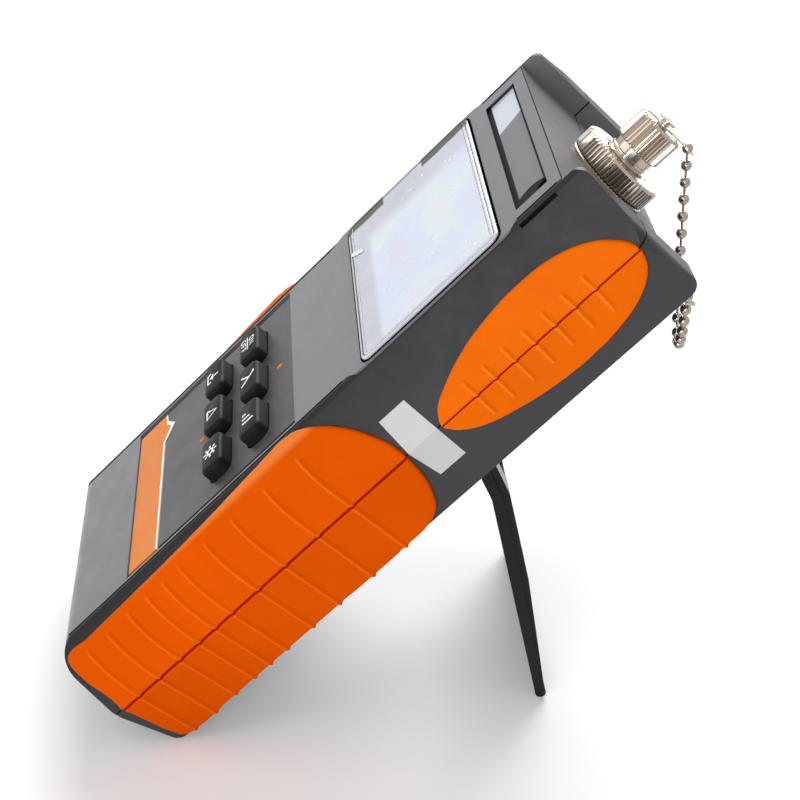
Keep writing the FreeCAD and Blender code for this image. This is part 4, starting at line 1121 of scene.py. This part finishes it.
band = bmesh.new()
flat_piece(band, BAND_OUTLINE, BAND_LOW, BAND_FACE + 0.02)
flat_piece(band, TAB_OUTLINE, BAND_LOW, BAND_FACE + 0.06)
finish_piece("orange_band", band, [band_orange], "housing", ["band_strip"])

edge_line = bmesh.new()
flat_piece(edge_line, LINE_OUTLINE, LINE_LOW, BAND_FACE + 0.1)
finish_piece("band_edge_line", edge_line, [legend_white], "housing")

# %% [markdown]
# A mark is a disc, extruded by the thickness of print and stretched a little along the meter.

# %% The two marks
MARK_PLACES = ((-0.3, 87.0), (-0.2, 55.3))
MARK_RADIUS, MARK_LENGTHENED, MARK_THICK = 0.75, 1.35, 0.08

marks = bmesh.new()
for centre in MARK_PLACES:
    drop = bmesh.ops.create_circle(marks, cap_ends=True, radius=MARK_RADIUS, segments=24)["verts"]
    made = bmesh.ops.extrude_face_region(marks, geom=drop[0].link_faces[:])["geom"]
    lifted = made_of(made, bmesh.types.BMVert)
    bmesh.ops.translate(marks, vec=(0, 0, MARK_THICK), verts=lifted)
    bmesh.ops.scale(marks, vec=(1, MARK_LENGTHENED, 1), verts=drop + lifted)
    bmesh.ops.translate(marks, vec=(*centre, BAND_FACE), verts=drop + lifted)
finish_piece("orange_marks", marks, [grip_orange], "housing")

# %% [markdown]
# ## Window
#
# The display window is a clear block with a bevelled rim, and it still wears its factory film.  The
# film hides most of what lies below it: it is milky, faintly coloured like oil on water, and has
# small bubbles along one side.  Seen at a flat angle it reflects so much that the display under
# it is only a paler field, so that field is part of the film's own colour.

# %% The window's rim
MASK_COLOUR = (0.02, 0.02, 0.022, 1)
BARE_FROM, BARE_TO = -31.9, -31.3
BARE_RAGGED = 0.5
COVERED_TAB = (131.5, 146.5)


def field_mask(tree, value, low, high, soft):
    """1 between two values, 0 outside, with soft ends."""
    rise = spread(tree, value, low - soft, low + soft, 0.0, 1.0)
    fall = spread(tree, value, high - soft, high + soft, 1.0, 0.0)
    return maths(tree, "MULTIPLY", rise, fall)


def cover_bare_edge(tree, meter, colour):
    """Along the far edge the film ends early and the dark mask under the window shows."""
    wander = spread(tree, noise(tree, object_place(tree), 300.0), 0.0, 1.0, -BARE_RAGGED, BARE_RAGGED)
    bare = spread(tree, maths(tree, "ADD", meter["Right"], wander), BARE_FROM, BARE_TO, 1.0, 0.0)
    tab = field_mask(tree, meter["Along"], *COVERED_TAB, 0.3)
    bare = maths(tree, "MULTIPLY", bare, maths(tree, "SUBTRACT", 1.0, tab))
    return mix_colour(tree, bare, colour, MASK_COLOUR)


def window_finish(name, colour, roughness):
    material, tree, shader = new_material(name)
    place = object_place(tree)
    cloud = mix_colour(tree, noise(tree, place, 220.0, 3.0), (*[c * 0.8 for c in colour], 1), (*colour, 1))
    link(tree, cover_bare_edge(tree, meter_place(tree), cloud), shader.inputs["Base Color"])
    link(tree, spread(tree, noise(tree, place, 300.0, 3.0), 0.3, 0.7, roughness * 0.7, roughness * 1.3),
         shader.inputs["Roughness"])
    return material


# The block is clear, so these colours are painted light: painted reflection on its sides and bevelled rim,
# and painted shade in its fine groove.
window_side_reflection = window_finish("window_side_reflection", (0.5, 0.52, 0.57), 0.1)
window_rim_reflection = window_finish("window_rim_reflection", (0.62, 0.64, 0.7), 0.08)
window_groove_shade = window_finish("window_groove_shade", (0.012, 0.012, 0.014), 0.3)
print("the window's rim has three finishes")

# %% [markdown]
# One slow noise runs through a ramp of five faint colours, all nearly as pale as each other.
# Outside the display's field a duller haze takes over.  The field's mask is the product of one
# range across the meter and one along it.

# %% The window's film
FILM_STOPS = ((0.33, (0.61, 0.6, 0.71)), (0.43, (0.57, 0.64, 0.76)), (0.5, (0.61, 0.64, 0.73)),
              (0.57, (0.6, 0.69, 0.70)), (0.67, (0.67, 0.65, 0.71)))
HAZE_LOW, HAZE_HIGH = (0.40, 0.42, 0.47, 1), (0.58, 0.59, 0.66, 1)
FIELD_RIGHT, FIELD_ALONG = (-20.0, 60.0), (125.0, 162.4)


def build_film():
    material, tree, shader = new_material("window_film")
    place = object_place(tree)
    meter = meter_place(tree)
    tone = noise(tree, place, 42.0, 2.0, 0.45)
    ramp = place_node(tree, "ShaderNodeValToRGB")
    while len(ramp.color_ramp.elements) < len(FILM_STOPS):
        ramp.color_ramp.elements.new(0.5)
    for element, (position, colour) in zip(ramp.color_ramp.elements, FILM_STOPS):
        element.position = position
        element.color = (*colour, 1)
    link(tree, tone, ramp.inputs["Fac"])
    field = maths(tree, "MULTIPLY", field_mask(tree, meter["Right"], *FIELD_RIGHT, 3.0),
                  field_mask(tree, meter["Along"], *FIELD_ALONG, 1.0))
    haze = mix_colour(tree, noise(tree, place, 60.0, 2.0), HAZE_LOW, HAZE_HIGH)
    milky = mix_colour(tree, field, haze, ramp.outputs["Color"])
    link(tree, cover_bare_edge(tree, meter, milky), shader.inputs["Base Color"])
    link(tree, spread(tree, noise(tree, place, 90.0, 3.0), 0.3, 0.7, 0.18, 0.34), shader.inputs["Roughness"])
    return material


window_film = build_film()
bubble_white = window_finish("bubble_white", (0.85, 0.88, 0.92), 0.12)
print("the film runs through", len(FILM_STOPS), "faint colours")

# %% [markdown]
# The face panel widens round the window, so that it frames the window on the two long sides as
# well.  The wider part runs out into the panel's straight edge in an S-curve at both ends.

# %% The widened frame
FRAME_LOW, FRAME_HIGH = 40.9, 42.52
FRAME_MIDDLE = 140.45
CROSS_HALF = 36.1
CROSS_RUNS = ((113.6, 117.6), (162.8, 165.9))
CROSS_SUNK = 0.005
S_CURVE = ((36.0, 108.6), (36.3, 108.6), (36.55, 110.6), (37.0, 112.0), (37.9, 112.9), (38.5, 114.1),
           (38.7, 116.0))

window_frame = bmesh.new()
for _, side in SIDES:
    strip = [(side * x, y) for x, y in S_CURVE]
    strip += [(side * x, 2 * FRAME_MIDDLE - y) for x, y in reversed(S_CURVE)]
    flat_piece(window_frame, strip, FRAME_LOW, FRAME_HIGH)
for low, high in CROSS_RUNS:
    flat_piece(window_frame, ((-CROSS_HALF, low), (CROSS_HALF, low), (CROSS_HALF, high), (-CROSS_HALF, high)),
               FRAME_LOW, FRAME_HIGH - CROSS_SUNK)
finish_piece("window_frame", window_frame, [panel_grey], "housing", sharp=math.radians(50))

# %% [markdown]
# The window sits in a near-black gasket that only shows as a fine line round it; that line is
# painted shade in the gap round the window.  Both start from a rounded face.  The window's rim is a
# row of insets, up over the bevel and then twice down into a fine groove and up again.  Each inset
# gives its ring of faces its colour there: painted reflection on the sides and bevels, painted
# shade in the groove, and the film on top.

# %% The window
RIM_FINISH, GROOVE_FINISH, FILM_FINISH = 1, 2, 3
WINDOW_STEPS = ((0.28, 43.3, RIM_FINISH), (0.5, 43.34, RIM_FINISH), (0.26, 43.2, GROOVE_FINISH),
                (0.12, 43.2, GROOVE_FINISH), (0.16, 43.4, RIM_FINISH), (0.55, 43.44, RIM_FINISH),
                (0.2, 43.22, GROOVE_FINISH), (0.12, 43.4, FILM_FINISH))
GASKET_CORNERS, GASKET_ROUND = ((-37.8, 116.5), (38.4, 164.6)), 3.4
GLASS_CORNERS, GLASS_ROUND = ((-37.1, 117.1), (37.95, 164.0)), 3.0
CORNER_STEPS = 8

# Painted shade: a near-black ring stands for the shade in the gap round the window.
gasket = bmesh.new()
raise_face(gasket, rounded_face(gasket, *GASKET_CORNERS, GASKET_ROUND, 41.0, CORNER_STEPS), 42.7)
finish_piece("window_gasket", gasket, [gap_shade_black], "housing", sharp=math.radians(20))

window = bmesh.new()
glass = raise_face(window, rounded_face(window, *GLASS_CORNERS, GLASS_ROUND, 41.2, CORNER_STEPS), 43.0)
for inset, height, finish in WINDOW_STEPS:
    step_in(window, glass, inset, height, finish)
glass.material_index = FILM_FINISH
finish_piece("filmed_window", window, [window_side_reflection, window_rim_reflection, window_groove_shade, window_film], "housing",
             ["screen_window"], sharp=math.radians(20))

# %% [markdown]
# Bubbles under the film are low domes.  A few grains of dust that hold the film up look the same,
# so both are small flattened spheres in one mesh.  A corner of the film has lifted at the lower
# end, and that is a small plate whose vertices rise with their distance from its root.

# %% Bubbles and a lifted corner
BUBBLES = ((-22.6, 154.2, 0.55), (-27.8, 142.6, 0.4), (-24.2, 138.1, 0.45), (-9.6, 140.6, 0.5),
           (18.6, 144.5, 0.5), (23.0, 146.0, 0.35), (27.4, 154.6, 0.5), (32.6, 157.2, 0.6),
           (20.4, 156.9, 0.35), (32.4, 125.8, 0.35), (8.9, 122.9, 0.3), (-22.4, 136.1, 0.35),
           (-25.2, 141.1, 0.6), (-23.3, 151.9, 0.45), (-26.9, 146.1, 0.5), (-25.6, 149.2, 0.35),
           (-28.3, 150.6, 0.4), (-20.7, 155.8, 0.6), (-18.9, 157.0, 0.35), (-27.1, 134.2, 0.35),
           (-28.2, 128.4, 0.4), (-11.3, 139.4, 0.3), (17.2, 143.3, 0.35), (-26.4, 143.9, 0.3),
           (-24.0, 144.8, 0.35), (4.1, 150.6, 0.25), (-2.8, 133.0, 0.25), (30.2, 151.4, 0.3))
BUBBLE_HEIGHT, BUBBLE_FLAT = 43.3, 0.35
FLAP = ((-19.2, 117.6), (-17.2, 119.4), (-15.4, 122.2), (-16.6, 122.4), (-18.8, 120.6), (-20.4, 118.4))
FLAP_LOW, FLAP_HIGH = 43.4, 43.46
FLAP_ROOT, FLAP_RISE = 118.0, 0.06

bubbles = bmesh.new()
for x, y, radius in BUBBLES:
    drop = bmesh.ops.create_icosphere(bubbles, subdivisions=2, radius=radius)["verts"]
    bmesh.ops.scale(bubbles, vec=(1, 1, BUBBLE_FLAT), verts=drop)
    bmesh.ops.translate(bubbles, vec=(x, y, BUBBLE_HEIGHT), verts=drop)
finish_piece("film_bubbles", bubbles, [bubble_white], "housing")

flap = bmesh.new()
flat_piece(flap, FLAP, FLAP_LOW, FLAP_HIGH)
for vert in flap.verts:
    vert.co.z += FLAP_RISE * max(0.0, vert.co.y - FLAP_ROOT)
finish_piece("film_flap", flap, [bubble_white], "housing")

# %% [markdown]
# ## Name card
#
# A printed card slides into a slot above the window.  The print is left plain: a pale field at one
# end, cut off at a slant, on grey.  Round a thumb notch at the other end and along all four edges,
# the card is painted with the slot's shade: painted shade.  All of this is flat, so it is painted by
# the card's material from the housing coordinates.

# %% The card's print
CARD_GREYS = (0.165, 0.163, 0.175, 1), (0.19, 0.188, 0.2, 1)
CARD_PALE = (0.55, 0.6, 0.66, 1)
# Painted shade of the slot, round the thumb notch and along the card's edges.
SLOT_SHADE = (0.006, 0.006, 0.007, 1)
PALE_END, PALE_SLANT = -12.4, 0.36
CARD_MIDDLE = 170.0
NOTCH_RIGHT, NOTCH_ALONG, NOTCH_RADIUS = 32.5, 175.4, 6.7
CARD_EDGES = (("Along", 171.3, 171.5, 1.0, 0.0), ("Along", 179.3, 179.5, 0.0, 1.0),
              ("Right", -32.0, -31.7, 1.0, 0.0), ("Right", 36.6, 36.8, 0.0, 1.0))


def card_print(tree, meter):
    """Grey print with a pale field at one end, cut off at a slant."""
    plain = mix_colour(tree, noise(tree, object_place(tree), 60.0, 2.0), *CARD_GREYS)
    lean = maths(tree, "MULTIPLY", maths(tree, "SUBTRACT", meter["Along"], CARD_MIDDLE), PALE_SLANT)
    slant = maths(tree, "ADD", meter["Right"], lean)
    pale = spread(tree, slant, PALE_END - 0.2, PALE_END + 0.2, 1.0, 0.0)
    return mix_colour(tree, pale, plain, CARD_PALE)


def card_shade_mask(tree, meter):
    """Mask of the painted shade round the thumb notch and of the slot's painted shadow along all four edges.
    """
    aside = maths(tree, "SUBTRACT", meter["Right"], NOTCH_RIGHT)
    ahead = maths(tree, "SUBTRACT", meter["Along"], NOTCH_ALONG)
    squares = maths(tree, "ADD", maths(tree, "MULTIPLY", aside, aside), maths(tree, "MULTIPLY", ahead, ahead))
    far = maths(tree, "SQRT", squares)
    dark = spread(tree, far, NOTCH_RADIUS - 0.1, NOTCH_RADIUS + 0.1, 1.0, 0.0)
    for socket, *range_and_mask in CARD_EDGES:
        dark = maths(tree, "MAXIMUM", dark, spread(tree, meter[socket], *range_and_mask))
    return dark


def build_card():
    material, tree, shader = new_material("card_face", Specular_IOR_Level=0.15)
    meter = meter_place(tree)
    dark = card_shade_mask(tree, meter)
    link(tree, mix_colour(tree, dark, card_print(tree, meter), SLOT_SHADE), shader.inputs["Base Color"])
    link(tree, spread(tree, dark, 0.0, 1.0, 0.3, 0.75), shader.inputs["Roughness"])
    return material


dress("name_card", build_card())
print("the name card is plain print")

# %% [markdown]
# ## Fine lines and the seal
#
# Where the face panel meets the shell there is a narrow gap on both sides.  Its shade is painted
# as a near-black line, drawn with the same pressed strokes as the legends: painted shade.

# %% Panel gaps
GAP_ACROSS, GAP_WIDTH = 36.65, 0.3
GAP_RUNS = ((3.0, 109.5), (169.6, 182.6))
GAPS = [[(side * GAP_ACROSS, low), (side * GAP_ACROSS, high)] for side in (-1, 1) for low, high in GAP_RUNS]
print_strokes("panel_gaps", GAPS, GAP_WIDTH, (0, 0), FRAME_HIGH, gap_shade_black, "housing")

# %% [markdown]
# The seal is a strip of plain paper that bridges the parting seam, so it has one fold along the
# ridge.  Two faces that share the fold make its underside, the same two a little further out make
# its top, and bridge_loops closes the edge between them all the way round.

# %% The seal
SEAL_OUTLINE = ((110.0, 30.8), (118.7, 30.8), (120.1, 21.0), (119.1, 9.6), (110.4, 9.7), (110.1, 21.0))
SEAL_LIFTS = (-0.2, 0.12)

seal = bmesh.new()
for lift in SEAL_LIFTS:
    corners = []
    for place, height in SEAL_OUTLINE:
        slant = FRONT_SLANT if height > SEAM_HEIGHT else REAR_SLANT
        corners.append(seal.verts.new((RIDGE_HALF + slant * (height - SEAM_HEIGHT) + lift, place, height)))
    seal.faces.new(corners[:3] + corners[5:])
    seal.faces.new(corners[2:])
bmesh.ops.bridge_loops(seal, edges=[edge for edge in seal.edges if edge.is_boundary])
finish_piece("paper_seal", seal, [paper], "housing", ["seal_label"], sharp=math.radians(10))

# %% [markdown]
# ## Stage, light and camera
#
# The meter stands on a wide white table in soft studio light.  The floor is plain, and for rays
# that come from the camera, a mirror or a glass it also glows a little, so that it reads as white
# paper while it still takes the meter's shadow.

# %% The floor
FLOOR_HALF = 6.0
FLOOR_GLOW = 0.14
FLOOR_COLOUR = (0.82, 0.82, 0.83, 1)
WHITE = (1, 1, 1, 1)


def seen_directly(tree):
    """1 for rays from the camera, a mirror or a glass, 0 for the rays that light other things."""
    seen = place_node(tree, "ShaderNodeLightPath").outputs
    direct = maths(tree, "MAXIMUM", seen["Is Camera Ray"], seen["Is Glossy Ray"])
    return maths(tree, "MAXIMUM", direct, seen["Is Transmission Ray"])


def build_floor():
    bm = bmesh.new()
    bmesh.ops.create_grid(bm, x_segments=1, y_segments=1, size=FLOOR_HALF)
    material, tree, shader = new_material("floor_paper", Base_Color=FLOOR_COLOUR, Roughness=0.7,
                                          Specular_IOR_Level=0.2)
    glow = place_node(tree, "ShaderNodeEmission")
    glow.inputs["Color"].default_value = WHITE
    link(tree, maths(tree, "MULTIPLY", seen_directly(tree), FLOOR_GLOW), glow.inputs["Strength"])
    both = place_node(tree, "ShaderNodeAddShader")
    link(tree, shader.outputs[0], both.inputs[0])
    link(tree, glow.outputs[0], both.inputs[1])
    link(tree, both.outputs[0], tree.nodes["Material Output"].inputs["Surface"])
    into_scene("floor", mesh_from("floor", bm), [material], SHARP)


build_floor()
print("the floor is", 2 * FLOOR_HALF, "m wide")

# %% [markdown]
# The world is a plain pale sky.  Three large area lamps stand in for soft boxes: the main one on
# the meter's left, beyond it from the camera, one for its face, and a weak one for the side that
# the camera sees.

# %% World and lamps
SKY_LIGHT = 0.42
SOFT_BOXES = (("main_box", (-1.0, 0.2, 0.9), (0, 0, 0.05), 0.9, 20.0),
              ("face_box", (0.2, -0.8, 1.0), (0, 0, 0.08), 1.0, 4.0),
              ("side_box", (1.1, -0.45, 0.35), (0, 0, 0.08), 0.6, 5.5))


def build_world():
    world = bpy.data.worlds.new("studio")
    world.use_nodes = True
    bpy.context.scene.world = world
    tree = world.node_tree
    back = tree.nodes["Background"]
    back.inputs["Color"].default_value = WHITE
    link(tree, spread(tree, seen_directly(tree), 0.0, 1.0, SKY_LIGHT, 1.0), back.inputs["Strength"])


def soft_box(name, position, target, width, power):
    """Square lamp at a position in the room, turned to a target; metres and watts."""
    lamp = bpy.data.lights.new(name, "AREA")
    lamp.shape = "SQUARE"
    lamp.size = width
    lamp.energy = power
    made = bpy.data.objects.new(name, lamp)
    made.location = position
    made.rotation_mode = "QUATERNION"
    made.rotation_quaternion = (Vector(target) - Vector(position)).to_track_quat("-Z", "Y")
    bpy.context.scene.collection.objects.link(made)


build_world()
for box in SOFT_BOXES:
    soft_box(*box)
print(len(SOFT_BOXES), "soft boxes light the meter")

# %% [markdown]
# The camera looks at the meter's right side and down on its face.  Its place is given in the
# housing's frame, so it follows if the meter's stance changes, and its directions are made square
# to each other before they become its rotation.

# %% The camera
CAMERA_PLACE = Vector((412.97, 259.02, 207.18))
LOOKING = Vector((-0.85328, -0.32685, -0.40631))
CAMERA_RIGHT = Vector((0.07076, 0.69939, -0.71123))
LENS, SENSOR = 79.2, 36.0
SHIFT = (0.0016, 0.0015)
CLIP = (0.01, 50.0)


def build_camera():
    data = bpy.data.cameras.new("camera")
    data.lens, data.sensor_width = LENS, SENSOR
    data.shift_x, data.shift_y = SHIFT
    data.clip_start, data.clip_end = CLIP
    camera = bpy.data.objects.new("camera", data)
    bpy.context.scene.collection.objects.link(camera)
    room = HOUSING.to_3x3()
    back = -(room @ LOOKING).normalized()
    right = room @ CAMERA_RIGHT
    right = (right - back * right.dot(back)).normalized()
    turn = Matrix((right, back.cross(right), back)).transposed()
    camera.matrix_world = Matrix.Translation(HOUSING @ CAMERA_PLACE) @ turn.to_4x4()
    bpy.context.scene.camera = camera


build_camera()
bpy.context.scene.view_settings.view_transform = "Standard"
print("the camera stands at", tuple(round(c, 3) for c in HOUSING @ CAMERA_PLACE))
